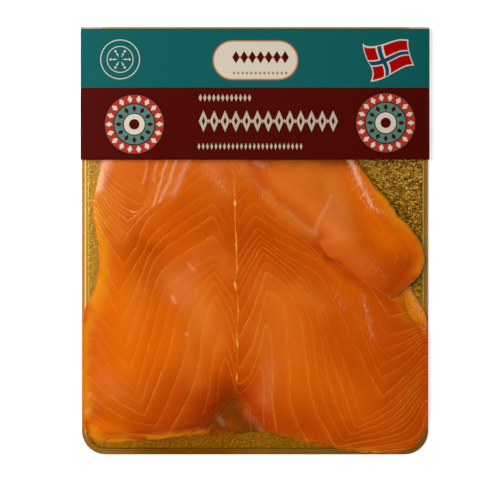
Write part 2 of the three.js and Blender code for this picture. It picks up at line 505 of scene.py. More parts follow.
def gold_foil():
    """Gold foil on card, pressed with a fine worm-like grain that is coarser where it is crumpled. Its
    colour carries painted highlight and painted shade, also in the grain's hollows.
    """
    made, graph, shader = material("gold foil")
    where = graph.place()
    broad = graph.noise(where, 26, 2)
    grain = graph.noise(graph.place((0.8, 1.4, 1), 28), 2.0, 2, 0.55, 0.9)
    fine = graph.noise(graph.place((1.3, 1, 1), -12), 0.7, 2, 0.6, 0.3)
    crumple = graph.value("crumple")
    colour = graph.mix(broad, linear(150, 106, 22), linear(182, 136, 36))
    # Painted highlight: lighter gold where light falls on the foil
    colour = graph.mix(graph.value("painted_highlight"), colour, linear(198, 150, 62))
    # Painted shade: darker gold
    colour = graph.mix(graph.value("painted_shade"), colour, linear(140, 84, 6))
    # Painted shade in the hollows of the crumpled grain
    painted_grain_shade = graph.times(graph.spread(grain, 0.52, 0.36), crumple)
    colour = graph.mix(painted_grain_shade, colour, linear(112, 66, 6))
    depth = graph.plus(graph.times(crumple, 0.85), 0.15)
    height = graph.plus(graph.times(grain, depth), graph.times(fine, 0.12))
    rough = graph.spread(fine, 0.3, 0.7, 0.42, 0.52)
    rough = graph.minus(rough, graph.times(crumple, 0.16))
    dress(graph, shader, colour, rough, graph.bump(height, 1.0, 1.9))
    shader.inputs["Metallic"].default_value = 1.0
    return made


def rim_foil():
    """The foil where the film is sealed down on it, smoother and brighter, with painted highlight and
    painted shade.
    """
    made, graph, shader = material("sealed rim foil")
    streaks = graph.noise(graph.place(), 1.6, 3, 0.6)
    dents = graph.noise(graph.place(), 7, 2)
    colour = graph.mix(streaks, linear(180, 124, 38), linear(208, 154, 72))
    # Painted highlight and painted shade, as the rim's attributes give them
    colour = graph.mix(graph.value("painted_highlight"), colour, linear(238, 200, 116))
    colour = graph.mix(graph.value("painted_shade"), colour, linear(132, 76, 6))
    rough = graph.spread(streaks, 0.3, 0.7, 0.44, 0.54)
    height = graph.plus(graph.times(streaks, 0.08), dents)
    dress(graph, shader, colour, rough, graph.bump(height, 0.1, 0.3))
    shader.inputs["Metallic"].default_value = 1.0
    return made


def salmon_flesh():
    """Cold-smoked flesh: orange bands between fat lines, with painted shade in the hollows and painted
    sheen where it shines.
    """
    made, graph, shader = material("salmon flesh")
    where = graph.place()
    cloud = graph.noise(where, 13, 3, 0.55)
    mottle = graph.noise(where, 3.4, 3, 0.6)
    fibre = graph.noise(graph.place((1, 0.22, 1), 12), 0.9, 2, 0.6)
    grain = graph.noise(where, 0.5, 2, 0.6)

    def dappled(name, share):
        """A painted mask whose edge is broken by the flesh's own mottle."""
        mask = graph.value(name)
        return graph.plus(mask, graph.times(graph.swing(mottle, 0.5, share), mask), clamp=True)

    def off_whole(value):
        """How far a value lies from the nearest whole number."""
        return graph.math("ABSOLUTE", graph.minus(value, graph.math("ROUND", value)))

    # Bands between the fat lines run from a lighter to a darker side: painted highlight and painted shade
    # across each band
    septum = graph.value("septum")
    nick = graph.noise(where, 1.1, 2, 0.6)
    wander = graph.plus(mottle, graph.times(nick, 0.9))
    wander = graph.math("DIVIDE", graph.minus(wander, 0.95), graph.value("spacing"))
    wander = graph.plus(wander, graph.swing(cloud, 0.5, 0.3))
    phase = graph.plus(septum, wander)
    band = graph.math("FRACT", phase)
    colour = graph.mix(cloud, linear(186, 66, 0), linear(202, 82, 2))
    colour = graph.mix(graph.times(band, 0.4), colour, linear(182, 54, 0))
    painted_band_highlight = graph.times(graph.spread(band, 0.3, 0.0), graph.value("line"))
    colour = graph.mix(graph.times(painted_band_highlight, 0.4), colour, linear(212, 112, 34))
    # Marks in the flesh's colour: warm and amber are the flesh's own tones; the deep mark is deeper red
    # flesh and painted shade, the pale and pink marks are painted sheen, and the brown mark is the brown
    # under-slice in the notch with painted shade there and under the sleeve
    for name, share, tint in (
        ("warm", 0.3, (230, 108, 0)), ("deep_and_shade", 0.5, (146, 30, 0)), ("pale", 0.5, (217, 117, 36)),
        ("pink_sheen", 0.5, (213, 112, 56)), ("amber", 0.6, (216, 130, 6)), ("brown", 0.4, (102, 42, 2)),
    ):
        colour = graph.mix(dappled(name, share), colour, linear(*tint))
    colour = graph.mix(graph.times(fibre, 0.1), colour, linear(218, 122, 22))

    # Fat lines, measured in millimetres from the nearest whole septum
    spacing = graph.value("spacing")
    white_fat = graph.value("white_fat")
    away = graph.times(off_whole(phase), spacing)
    width = graph.spread(mottle, 0.35, 0.7, 0.2, 0.42)
    width = graph.times(width, graph.spread(white_fat, 0.0, 1.0, 1.0, 1.4))
    line = graph.minus(1.0, graph.math("DIVIDE", away, width), clamp=True)
    number = graph.math("ROUND", phase)
    each = graph.node("ShaderNodeTexWhiteNoise", {"W": number}, noise_dimensions="1D")
    line = graph.times(line, graph.spread(each.outputs["Value"], 0.1, 0.7, 0.25, 1.0))

    # Half-way lines, where the lines crowd together towards an edge
    away = graph.times(off_whole(graph.times(phase, 2.0)), graph.times(spacing, 0.5))
    crowd = graph.minus(1.0, graph.math("DIVIDE", away, width), clamp=True)
    line = graph.math("MAXIMUM", line, graph.times(crowd, graph.value("crowd")))
    line = graph.times(graph.math("POWER", line, 0.8), graph.value("line"))
    line = graph.times(line, graph.spread(cloud, 0.3, 0.6, 0.25, 1.0))
    fat = graph.mix(white_fat, linear(220, 134, 28), linear(230, 172, 112))
    colour = graph.mix(line, colour, fat)

    colour = graph.mix(graph.spread(grain, 0.45, 0.75, 0.0, 0.14), colour, linear(222, 136, 34))

    # The pale seam down the middle
    wide = graph.plus(graph.value("seam_width"), graph.swing(mottle, 0.58, 1.3))
    across = graph.plus(graph.value("seam_side"), graph.swing(cloud, 0.5, 0.8))
    seam = graph.spread(graph.minus(wide, graph.math("ABSOLUTE", across)), -0.2, 0.2)
    pale = graph.mix(graph.spread(wide, 0.25, 0.75), linear(228, 138, 44), linear(238, 172, 100))
    colour = graph.mix(graph.times(seam, 0.85), colour, pale)

    # Cut edges let the light through, and the flap's right edge gets a painted highlight
    cut = graph.times(graph.spread(graph.value("rim"), 0.75, 0.1), graph.value("cut_edge"))
    colour = graph.mix(cut, colour, linear(236, 150, 62))

    # Lights on the wet film, broken along the grain
    streak = graph.noise(graph.place((1, 0.3, 1), -14), 0.7, 3, 0.7)
    glint = graph.times(graph.value("glint"), graph.spread(streak, 0.3, 0.62, 0.45, 1.0))
    colour = graph.mix(glint, colour, linear(244, 190, 152))
    feather = graph.noise(graph.place((1.5, 0.4, 1), -16), 0.9, 3, 0.65)
    wet = graph.times(graph.value("wet"), graph.spread(feather, 0.5, 0.66))
    colour = graph.mix(wet, colour, linear(242, 200, 150))
    rough = graph.spread(mottle, 0.3, 0.7, 0.34, 0.5)
    height = graph.plus(graph.times(mottle, 0.5), graph.times(grain, 0.25))
    height = graph.plus(height, graph.times(fibre, 0.3))
    height = graph.minus(height, graph.times(line, 0.25))
    dress(graph, shader, colour, rough, graph.bump(height, 0.28, 0.25))
    shader.inputs["Subsurface Weight"].default_value = 0.12
    shader.inputs["Subsurface Radius"].default_value = (1.0, 0.35, 0.1)
    shader.inputs["Subsurface Scale"].default_value = 1.5 * MM
    shader.inputs["Specular IOR Level"].default_value = 0.01
    return made


def skin_film():
    """Clear glossy film: it shows only by its own reflections, which grow at a slant."""
    made, graph, shader = material("clear skin film")
    ripple = graph.noise(graph.place(), 2.2, 3, 0.6, 0.4)
    broad = graph.noise(graph.place(), 9, 2)
    height = graph.plus(graph.times(ripple, 0.35), broad)
    normal = graph.bump(height, 0.12, 0.5)
    slant = graph.node("ShaderNodeLayerWeight", {"Blend": 0.5, "Normal": normal}).outputs["Facing"]
    gleam = graph.times(graph.math("POWER", slant, 4.0), 0.16)
    graph.join(graph.plus(gleam, 0.0006), shader.inputs["Alpha"])
    tint = graph.mix(broad, linear(250, 248, 244), linear(255, 255, 255))
    dress(graph, shader, tint, graph.spread(ripple, 0.3, 0.7, 0.1, 0.2), normal)
    shader.inputs["Metallic"].default_value = 1.0
    return made


def card_grain_group():
    """Print on satin card: a colour with faint fibres, its roughness and its relief."""
    tree, graph, given, shown = shader_group(
        "print on card",
        [("Colour", "NodeSocketColor", (0.5, 0.5, 0.5, 1)), ("Depth", "NodeSocketFloat", 0.12)],
        [("Colour", "NodeSocketColor"), ("Roughness", "NodeSocketFloat"), ("Height", "NodeSocketFloat")],
    )
    fibres = graph.noise(graph.place((1, 0.35, 1), 4), 0.55, 3, 0.65)
    broad = graph.noise(graph.place(), 38, 2)
    dots = graph.noise(graph.place(), 0.28, 1)
    inputs = {"Value": 0.72, "Color": given.outputs["Colour"]}
    dark = graph.node("ShaderNodeHueSaturation", inputs).outputs[0]
    share = graph.plus(graph.times(fibres, 0.6), graph.times(broad, 0.4))
    share = graph.times(share, given.outputs["Depth"])
    graph.join(graph.mix(share, given.outputs["Colour"], dark), shown.inputs["Colour"])
    graph.join(graph.spread(fibres, 0.3, 0.7, 0.44, 0.58), shown.inputs["Roughness"])
    relief = graph.plus(graph.times(fibres, 0.7), graph.times(dots, 0.3))
    graph.join(relief, shown.inputs["Height"])
    return tree


def ink(name, colour, depth=0.3, bump=0.12):
    """One printed colour on the sleeve's card."""
    made, graph, shader = material(name)
    printed = graph.node("ShaderNodeGroup", node_tree=CARD_GRAIN)
    printed.inputs["Colour"].default_value = colour
    printed.inputs["Depth"].default_value = depth
    colour, rough, height = printed.outputs
    dress(graph, shader, colour, rough, graph.bump(height, bump, 0.1))
    shader.inputs["Specular IOR Level"].default_value = 0.02
    return made


def studio_floor():
    """Plain pale paper that the pack lies on."""
    made, graph, shader = material("pale studio paper")
    soft = graph.noise(graph.place(), 60, 2)
    graph.join(graph.mix(soft, (0.9, 0.9, 0.9, 1), (0.93, 0.93, 0.93, 1)), shader.inputs["Base Color"])
    shader.inputs["Roughness"].default_value = 0.9
    shader.inputs["Specular IOR Level"].default_value = 0.0
    shader.inputs["Emission Color"].default_value = (1, 1, 1, 1)
    shader.inputs["Emission Strength"].default_value = 0.5
    return made


CARD_GRAIN = card_grain_group()
GOLD = gold_foil()
RIM = rim_foil()
FLESH = salmon_flesh()
FILM = skin_film()
TEAL = ink("teal ink", linear(16, 90, 89))
MAROON = ink("maroon ink", linear(76, 9, 4))
CREAM = ink("cream ink", linear(208, 196, 178), 0.16)
SOFT_CREAM = ink("soft cream ink", linear(184, 170, 150), 0.2)
ORANGE = ink("orange ink", linear(196, 116, 46), 0.2)
BRONZE = ink("bronze ink", linear(170, 121, 70), 0.2)
SCARLET = ink("scarlet ink", linear(164, 4, 3), 0.2)
CORAL = ink("coral ink", linear(168, 50, 36), 0.3)
NAVY = ink("navy ink", linear(20, 66, 96), 0.3)
INK_BLACK = ink("brown-black ink", linear(28, 16, 16), 0.3)
SOFT_TEAL = ink("soft teal ink", linear(80, 124, 114), 0.2)
RAW_CARD = ink("uncoated card", linear(214, 200, 176), 0.4, 0.3)
PAPER = studio_floor()


# Heights and outlines from the frame

BOARD_TOP = height_of("board", True)
BOARD_UNDER = height_of("board", False)
LAYERS = {
    node: (outline_of(node), height_of(node, False), height_of(node, True))
    for node in ("slice_under", "slice_main", "slice_flap")
}


# The gold board

def board_level(x, y):
    """Height of the board's field, carried on over its pressed rim."""
    inset = RIM_WIDTH + 2
    x = np.clip(x, BOARD_LOW[0] + inset, BOARD_HIGH[0] - inset)
    return BOARD_TOP.at(x, np.clip(y, BOARD_LOW[1] + inset, BOARD_HIGH[1] - inset))


def dark_across(x, at_left):
    """How much painted shade the bottom end gets from side to side, most of all a little left of the
    middle.
    """
    return (at_left + (1 - at_left) * smoothstep(-84, -50, x)) * (1 - 0.25 * smoothstep(-25, 5, x))


def board_piece():
    """The foil-faced board, its field standing a little over the sealed rim."""
    outline = evenly(rounded_board(RIM_WIDTH + 0.5), 1.0, closed=True)
    patch = patch_in(outline, BOARD_STEP)
    x, y, _ = patch
    right = smoothstep(40, 80, x) * smoothstep(-60, 0, y)
    crumple = 0.12 + 0.88 * right
    # Painted highlight: lighter gold at the left and on the upper right, where light falls on the foil
    painted_highlight = smoothstep(-70, -84, x) * smoothstep(-100, -40, y) * (0.3 + 0.3 * smoothstep(-8, 26, y))
    painted_highlight += right * (0.14 + 0.75 * smoothstep(12, 42, y))
    # Painted shade: darker gold along the bottom end
    painted_shade = smoothstep(-90, -100, y) * dark_across(x, 0.45)
    relief = 0.10 * noise(x, y, 4.2, 5) + 0.07 * noise(x, y, 2.6, 6)
    inner = smoothstep(RIM_WIDTH + 0.8, RIM_WIDTH + 3, from_edge(x, y))
    top = board_level(x, y) + crumple * relief * inner
    vertices, faces, source = slab(patch, top, BOARD_UNDER.at(x, y))
    marks = {"crumple": crumple[source], "painted_highlight": painted_highlight[source], "painted_shade": painted_shade[source]}
    return piece("gold_board", vertices, faces, [GOLD], marks, soft=len(patch[2]))


def geometry_tree(name, inputs):
    """A geometry node tree that starts from a line of edges: its graph, inputs and upright curve."""
    tree = bpy.data.node_groups.new(name, "GeometryNodeTree")
    for socket, kind in [("Line", "Geometry"), *inputs, ("Finish", "Material")]:
        tree.interface.new_socket(socket, in_out="INPUT", socket_type="NodeSocket" + kind)
    tree.interface.new_socket("Made", in_out="OUTPUT", socket_type="NodeSocketGeometry")
    graph = Graph(tree)
    given = graph.node("NodeGroupInput")
    path = graph.node("GeometryNodeMeshToCurve", {"Mesh": given.outputs["Line"]}).outputs[0]
    upright = graph.node("GeometryNodeSetCurveNormal", {"Curve": path}, mode="Z_UP").outputs[0]
    return graph, given, upright


def finished(graph, given, geometry):
    """The tree, ended with real geometry in its material."""
    real = graph.node("GeometryNodeRealizeInstances", {"Geometry": geometry}).outputs[0]
    inputs = {"Geometry": real, "Material": given.outputs["Finish"]}
    dressed = graph.node("GeometryNodeSetMaterial", inputs).outputs[0]
    graph.join(dressed, graph.node("NodeGroupOutput").inputs[0])
    return graph.tree


def sweep_tree():
    """Sweeps the profile object along the line, its left to the line's left."""
    graph, given, path = geometry_tree("sealed rim along the board", [("Profile", "Object")])
    held = graph.node("GeometryNodeObjectInfo", {"Object": given.outputs["Profile"]})
    profile = graph.node("GeometryNodeMeshToCurve", {"Mesh": held.outputs["Geometry"]}).outputs[0]
    inputs = {"Curve": path, "Profile Curve": profile}
    swept = graph.node("GeometryNodeCurveToMesh", inputs).outputs[0]
    soft = graph.node("GeometryNodeSetShadeSmooth", {"Geometry": swept}).outputs[0]
    return finished(graph, given, soft)


def wire(name, points, closed):
    """A hidden line of edges for a geometry tree to work from, from points in millimetres."""
    mesh = bpy.data.meshes.new(name)
    count = len(points)
    edges = [(k, (k + 1) % count) for k in range(count if closed else count - 1)]
    mesh.from_pydata((np.asarray(points) * MM).tolist(), edges, [])
    return placed(name, mesh)


def grown(name, base, tree, sizes):
    """The plain mesh that a geometry tree grows from a hidden base."""
    modifier = base.modifiers.new(tree.name, "NODES")
    modifier.node_group = tree
    for socket in tree.interface.items_tree:
        if socket.in_out == "INPUT" and socket.name in sizes:
            modifier[socket.identifier] = sizes[socket.name]
    graph = bpy.context.evaluated_depsgraph_get()
    mesh = bpy.data.meshes.new_from_object(base.evaluated_get(graph))
    base.modifiers.remove(modifier)
    mesh.name = name
    bpy.data.objects.remove(base)
    return placed(name, mesh)


def facing_out(made):
    """Turns a closed piece's faces outwards."""
    form = bmesh.new()
    form.from_mesh(made.data)
    bmesh.ops.remove_doubles(form, verts=form.verts, dist=1e-7)
    bmesh.ops.recalc_face_normals(form, faces=form.faces)
    form.to_mesh(made.data)
    form.free()
    return made


def rim_piece():
    """The pressed rim that the film is sealed to, swept round the board's edge."""
    loop = evenly(rounded_board(0), 1.6, closed=True)
    path = np.column_stack([loop, board_level(*loop.T)])
    step = RIM_WIDTH - 0.8
    section = [
        (0.15, -RIM_DEPTH), (0.02, -0.8), (0.02, -RIM_DROP - 0.1), (0.03, -RIM_DROP - 0.05),
        (0.07, -RIM_DROP - 0.01), (0.12, -RIM_DROP), (0.2, -RIM_DROP), (step - 0.1, -RIM_DROP),
        (step, -RIM_DROP), (step + 0.1, -0.88 * RIM_DROP), (step + 0.38, -0.12 * RIM_DROP),
        (step + 0.48, 0.0), (step + 0.58, 0.0), (RIM_WIDTH + 0.3, 0.0), (RIM_WIDTH + 0.6, -0.03),
        (RIM_WIDTH + 1.4, -0.1), (RIM_WIDTH + 1.4, -RIM_DEPTH),
    ]
    profile = wire("rim section", [(-x, -z, 0) for x, z in section], True)
    base = wire("rim path", path, True)
    made = facing_out(grown("sealed_rim", base, sweep_tree(), {"Profile": profile, "Finish": RIM}))
    bpy.data.objects.remove(profile)
    places = np.empty(3 * len(made.data.vertices))
    made.data.vertices.foreach_get("co", places)
    x, y, _ = places.reshape(-1, 3).T / MM
    edge = from_edge(x, y)
    # Painted shade along the bottom end, on the outer edge and on the right side's step; painted highlight
    # on the rest of the rim, strongest at the right
    low = smoothstep(-98, -108, y) * dark_across(x, 0.6)
    right = smoothstep(20, 80, x)
    at_step = smoothstep(step - 0.4, step, edge) * smoothstep(step + 1.0, step + 0.6, edge)
    outer = smoothstep(0.25, 0.1, edge)
    painted_highlight = (1 - low) * (1 - outer) * (0.26 * (1 - right) + 0.8 * right * (1 - at_step))
    painted_shade = np.maximum(low, np.maximum(0.8 * outer, 0.6 * right * at_step))
    add_attribute(made.data, "painted_highlight", painted_highlight)
    add_attribute(made.data, "painted_shade", painted_shade)
    return made


# The slices

# Brush strokes on the flesh: amount, width in pixels, then the pixels that each passes
# Deeper red flesh and painted shade: creases, valleys, the dark slit, the notch between the lobes and
# slopes turned from the light
DEEP_AND_SHADE = [
    (0.2, 6, (138, 240), (148, 250), (160, 252)),
    (0.16, 6, (150, 254), (174, 243), (190, 236), (215, 225)),
    (0.12, 22, (206, 196), (226, 214), (238, 250)),
    (0.12, 8, (262, 208), (280, 220), (300, 232)),
    (0.35, 7, (300, 234), (318, 246), (336, 262), (352, 276)),
    (0.8, 2.4, (326, 257), (334, 261), (342, 264)),
    (0.3, 16, (245, 240), (262, 222), (300, 240)),
    (0.9, 10, (240, 391), (228, 398), (215, 414), (206, 437)),
    (0.65, 15, (228, 390), (206, 412), (192, 434)),
    (0.4, 17, (140, 432), (176, 428), (204, 412)),
    (0.3, 17, (262, 398), (284, 420), (318, 440), (352, 444)),
    (0.22, 15, (352, 442), (396, 436), (416, 420)),
    (0.25, 8, (90, 404), (97, 416)),
    (0.3, 13, (266, 242), (280, 260), (288, 276)),
    (0.3, 5, (426, 338), (428, 372), (427, 404)),
    (0.24, 30, (372, 308), (398, 350), (404, 392)),
    (0.35, 5, (346, 274), (372, 291), (396, 303)),
    (0.3, 20, (118, 226), (138, 262), (160, 286)),
    (0.3, 22, (120, 400), (160, 404), (190, 392)),
    (0.3, 12, (232, 362), (224, 378), (212, 392)),
    (0.55, 10, (244, 398), (256, 414), (270, 430), (288, 440)),
]
WARM = [
    (0.35, 22, (112, 244), (118, 262), (124, 290)),
    (0.6, 9, (98, 426), (112, 430), (128, 432)),
    (0.65, 30, (122, 310), (126, 350), (116, 388)),
    (0.45, 22, (168, 310), (168, 350)),
    (0.3, 14, (178, 184), (196, 192), (206, 200)),
    (0.3, 14, (258, 206), (276, 222), (292, 238)),
    (0.2, 24, (130, 200), (160, 230), (196, 250)),
    (0.4, 18, (206, 290), (214, 330), (212, 360)),
    (0.45, 22, (284, 300), (300, 350), (296, 380)),
    (0.35, 20, (350, 290), (364, 320)),
    (0.3, 20, (330, 380), (356, 400)),
]
# Painted sheen: paler flesh where light shines off it
PALE_SHEEN = [
    (0.3, 14, (116, 170), (136, 188), (150, 204)),
    (0.5, 12, (113, 194), (116, 212), (119, 230)),
    (0.35, 9, (243, 168), (249, 182)),
    (0.55, 7, (268, 198), (283, 212), (296, 224), (310, 234)),
    (0.3, 12, (258, 330), (262, 352)),
    (0.5, 12, (170, 164), (164, 178), (158, 190)),
    (0.45, 16, (204, 170), (214, 176), (222, 186)),
    (0.65, 18, (178, 284), (194, 296), (206, 318)),
    (0.35, 12, (200, 320), (212, 336), (216, 346)),
    (0.32, 20, (268, 290), (280, 320), (284, 352)),
    (0.35, 10, (224, 258), (226, 272)),
    (0.12, 14, (122, 372), (140, 392), (120, 400)),
    (0.3, 12, (186, 338), (196, 380)),
    (0.3, 12, (138, 286), (134, 330)),
    (0.35, 12, (300, 292), (318, 306)),
]
# Painted sheen in a pinker tone
PINK_SHEEN = [
    (0.4, 9, (220, 163), (236, 165), (248, 167)),
    (0.25, 8, (118, 164), (136, 166), (150, 172)),
    (0.6, 7, (184, 164), (176, 180), (170, 192)),
    (0.5, 12, (176, 282), (184, 296)),
    (0.3, 9, (196, 262), (188, 274)),
    (0.4, 9, (270, 366), (268, 386), (266, 400)),
    (0.12, 10, (216, 240), (208, 252)),
    (0.35, 9, (108, 378), (114, 392)),
]
AMBER = [
    (0.7, 3, (98, 180), (95, 196), (95, 208)),
    (0.4, 7, (101, 194), (104, 206), (106, 222)),
    (0.9, 6, (96, 212), (99, 232), (104, 250), (104, 266), (101, 284), (94, 306)),
    (0.75, 5, (90, 318), (86, 345), (85, 385), (87, 415)),
    (0.3, 6, (104, 290), (99, 312)),
    (0.4, 5, (400, 300), (406, 310), (414, 320)),
    (0.8, 5, (92, 430), (104, 441), (122, 441)),
    (0.6, 4, (150, 438), (185, 436), (208, 432), (250, 432), (290, 439), (330, 449), (380, 454)),
    (0.8, 8, (408, 288), (412, 302), (422, 316)),
]
# The brown under-slice in the notch between the lobes, with painted shade on the lobes' sides beside it
BROWN_AND_SHADE = [
    (0.95, 9, (212, 434), (222, 420), (232, 406)),
    (0.95, 9, (234, 412), (242, 422), (254, 430)),
    (0.95, 7, (218, 428), (230, 430), (244, 432)),
]
# Where wet film throws fine feathered lights
WET = [
    (0.25, 5, (408, 290), (412, 300), (413, 310)),
    (0.35, 4, (418, 300), (420, 312), (426, 328)),
    (0.25, 3.0, (363, 296), (367, 314), (372, 337)),
    (0.2, 4.0, (333, 288), (338, 298), (342, 308)),
    (0.14, 3.5, (272, 372), (270, 388), (268, 402)),
    (0.12, 3.5, (86, 412), (90, 404), (94, 396)),
    (0.3, 5.0, (206, 168), (218, 180), (226, 192)),
    (0.2, 4.0, (260, 192), (270, 202)),
]
GLINT = [
    (0.75, 5.0, (108, 158), (104, 168), (101, 178), (98, 188)),
    (0.3, 1.0, (147.5, 160), (146, 172), (142.6, 183)),
    (0.25, 1.4, (157, 162), (153.5, 180)),
    (0.5, 1.0, (167, 160), (160.4, 182.6), (153.5, 205.5)),
    (0.45, 1.4, (176, 160), (169.5, 180), (159, 202)),
    (0.25, 2.2, (189, 160), (181, 177), (174, 194)),
    (0.06, 4.5, (212, 164), (214, 178)),
    (0.25, 1.5, (189, 264), (192, 268), (195, 271)),
    (0.4, 1.3, (172, 296), (176, 303)),
    (0.4, 1.0, (186, 333), (187, 335)),
    (0.08, 1.5, (364, 297), (367, 316), (372, 337)),
    (0.16, 1.4, (88, 398), (91, 394)),
    (0.14, 1.6, (86, 412), (90, 408)),
    (0.25, 1.2, (410, 289), (412, 298)),
    (0.25, 1.2, (417, 302), (419, 309)),
    (0.1, 2.4, (246, 411), (254, 421), (261, 429)),
    (0.16, 2.4, (219, 417), (223, 424)),
]
# Painted sheen on the flap
FLAP_PALE_SHEEN = [
    (0.6, 18, (276, 186), (296, 196), (314, 210), (330, 230)),
    (0.6, 20, (300, 170), (326, 178)),
    (0.65, 12, (332, 186), (339, 210), (345, 232)),
    (0.5, 8, (286, 214), (297, 223), (308, 231)),
    (0.3, 12, (344, 246), (358, 260)),
    (0.4, 7, (374, 190), (388, 206), (398, 220)),
]
# Painted shade on the flap: at its tip, in its dark slit, along its fold and under the sleeve's edge
FLAP_DEEP_AND_SHADE = [
    (0.45, 12, (404, 266), (396, 280), (388, 291)),
    (0.9, 2, (328, 257), (334, 260), (340, 262)),
    (0.25, 8, (246, 170), (262, 186)),
    (0.6, 5, (250, 161), (300, 161), (350, 161)),
    (0.3, 8, (270, 222), (288, 236), (310, 248)),
]
FLAP_WET = [
    (0.8, 5.0, (352, 160), (359, 182), (370, 204)),
    (0.5, 3.0, (372, 206), (384, 214)),
    (0.2, 4.0, (262, 192), (276, 204), (290, 216)),
    (0.15, 4.0, (258, 160), (268, 168)),
    (0.14, 4.0, (374, 264), (384, 278)),
]
# Painted highlight on the flap's right edge, whose side faces away from the lamps
FLAP_RIGHT_EDGE_HIGHLIGHT = [
    (0.5, 5, (374, 186), (392, 206), (404, 222), (418, 240)),
]
# The shade that the sleeve's edge throws on the flap
SLEEVE_SHADE = [
    (0.55, 10, (258, 157), (300, 157), (345, 157)),
]
# Painted pink sheen on the flap
FLAP_PINK_SHEEN = [
    (0.2, 9, (262, 165), (300, 166)),
    (0.5, 9, (334, 204), (332, 218), (336, 236)),
    (0.12, 8, (346, 234), (360, 256), (372, 272)),
]
FLAP_WARM = [
    (0.6, 15, (354, 184), (368, 210), (386, 240)),
    (0.4, 12, (372, 186), (396, 216), (410, 242)),
]
# Amber of the flap's thin edges, along its right side also painted highlight
FLAP_AMBER_AND_HIGHLIGHT = [
    (0.8, 5, (364, 166), (378, 190), (396, 214), (414, 234)),
    (0.6, 4, (421, 244), (423, 258), (418, 272)),
]
FLAP_GLINT = [
    (0.8, 2.2, (350, 160), (355, 172), (360, 183)),
    (0.6, 1.2, (360, 184), (367, 196), (372, 206)),
    (0.2, 1.2, (374, 206), (380, 213)),
    (0.1, 3, (290, 216), (302, 226), (315, 233)),
    (0.17, 2.0, (316, 232), (319, 221), (324, 210), (331, 197)),
    (0.08, 2.0, (252, 180), (264, 192)),
    (0.15, 2.4, (256, 162), (264, 166)),
]


def painted(x, y, strokes, stray=1.2):
    """How much each point is covered by soft strokes, from 0 to 1."""
    bare = np.ones(x.shape)
    wx, wy = x + stray * noise(x, y, 5, 31), y + stray * noise(x, y, 5, 32)
    for amount, width, *pixels in strokes:
        line = smooth_curve(from_photo(pixels), 5)
        distance = near_line(wx, wy, line)[0]
        bare *= 1 - amount * np.exp(-((distance / (width * PIXEL)) ** 2))
    return 1 - bare


# Where the fat is white
WHITE_FAT = [
    (0.9, 12, (106, 165), (99, 195), (97, 230)),
    (0.85, 16, (122, 186), (130, 204), (138, 216)),
]

# Where few fat lines show
FEW_LINES = [
    (0.75, 18, (168, 216), (192, 196), (212, 182)),
    (0.45, 12, (250, 204), (262, 224), (288, 240)),
    (0.9, 9, (236, 400), (222, 412), (212, 430)),
    (0.8, 8, (238, 402), (250, 414), (262, 430)),
    (0.75, 9, (224, 176), (228, 205), (228, 250), (230, 280)),
    (0.6, 7, (242, 176), (244, 205), (244, 232)),
    (0.4, 14, (120, 166), (150, 176)),
    (0.5, 22, (300, 262), (326, 300), (344, 340)),
    (0.75, 16, (352, 284), (376, 320), (392, 362)),
    (0.5, 20, (330, 300), (350, 350), (362, 400)),
    (0.5, 16, (196, 256), (184, 300)),
    (0.5, 12, (214, 172), (224, 190)),
    (0.85, 9, (250, 186), (270, 204), (296, 222), (322, 244), (334, 262)),
    (0.6, 10, (222, 384), (214, 410)),
]

# Where they stand out
BOLD_LINES = [
    (1, 14, (106, 176), (116, 200), (120, 228)),
    (0.7, 12, (150, 330), (156, 380), (140, 410)),
    (0.7, 10, (352, 400), (372, 372), (404, 360)),
]

# Where the large slice thins out gently instead of ending in a round edge
SOFT_EDGES = [
    (1, 9, (404, 282), (412, 304), (428, 326)),
    (1, 8, (231, 396), (213, 420), (206, 436)),
    (1, 8, (82, 424), (92, 438), (110, 441), (150, 440), (206, 434)),
]

# Where fat lines crowd together
CROWD = [
    (1, 12, (420, 335), (417, 370), (408, 410), (396, 440)),
    (0.9, 7, (104, 162), (98, 185), (94, 205), (96, 228)),
    (0.5, 12, (114, 172), (116, 200), (116, 222)),
    (0.7, 9, (90, 404), (100, 428)),
]

# Septa of the left and right sides: each key line is its number and the pixels of its corners
LEFT_SEPTA = {
    0: [(103, 166), (118, 177), (142, 192), (143, 182), (150, 155), (196, 120), (218, 130), (236, 150)],
    1: [(102, 173), (120, 193), (144, 206), (150, 192), (156, 165), (198, 130), (219, 140), (236, 160)],
    2: [(100.5, 183), (113, 199.5), (135, 214), (151, 200), (160, 172), (200, 138), (220, 148),
        (236, 168)],
    3: [(98, 187), (111, 207), (129, 221), (147, 205), (160, 182), (203, 146), (221, 156), (236, 178)],
    4: [(95.5, 192.5), (106.4, 213), (122.5, 232), (141, 214), (157, 194), (206, 153),
        (222, 165), (236, 187)],
    5: [(96, 207.4), (105.3, 223.5), (122.5, 243), (131.7, 223.5), (154, 205), (208, 160),
        (223, 174), (236, 196)],
    6: [(95, 215), (105, 236), (124.3, 266), (137.5, 245), (151, 216), (211, 168), (224, 182),
        (236, 206)],
    7: [(97, 240), (104, 262), (117, 294), (138, 262), (158, 230), (212, 190), (224, 206), (236, 228)],
    9: [(99, 318), (113, 330), (125, 347), (140, 303), (160, 254), (213.7, 215), (222, 235),
        (235.5, 263)],
    11: [(95.8, 335), (110, 367), (136.3, 392), (150.5, 337), (168, 285), (213.7, 256),
        (222, 263), (235.5, 280)],
    13: [(88, 375), (114, 399), (144.2, 416), (169.4, 349), (179, 308), (214, 271), (224, 286),
        (236, 301)],
    15: [(88, 410), (125, 432), (168, 437), (195.8, 379), (203, 329), (214, 291), (227, 315),
        (236, 344)],
    16: [(90, 425), (130, 445), (190, 445), (208, 400), (212, 360), (222, 325), (228.5, 350),
        (236, 375)],
    18: [(90, 445), (150, 465), (215, 450), (224, 420), (226, 395), (229, 380), (232, 390), (236, 405)],
}
LEFT_CORNERS = (2, 5)
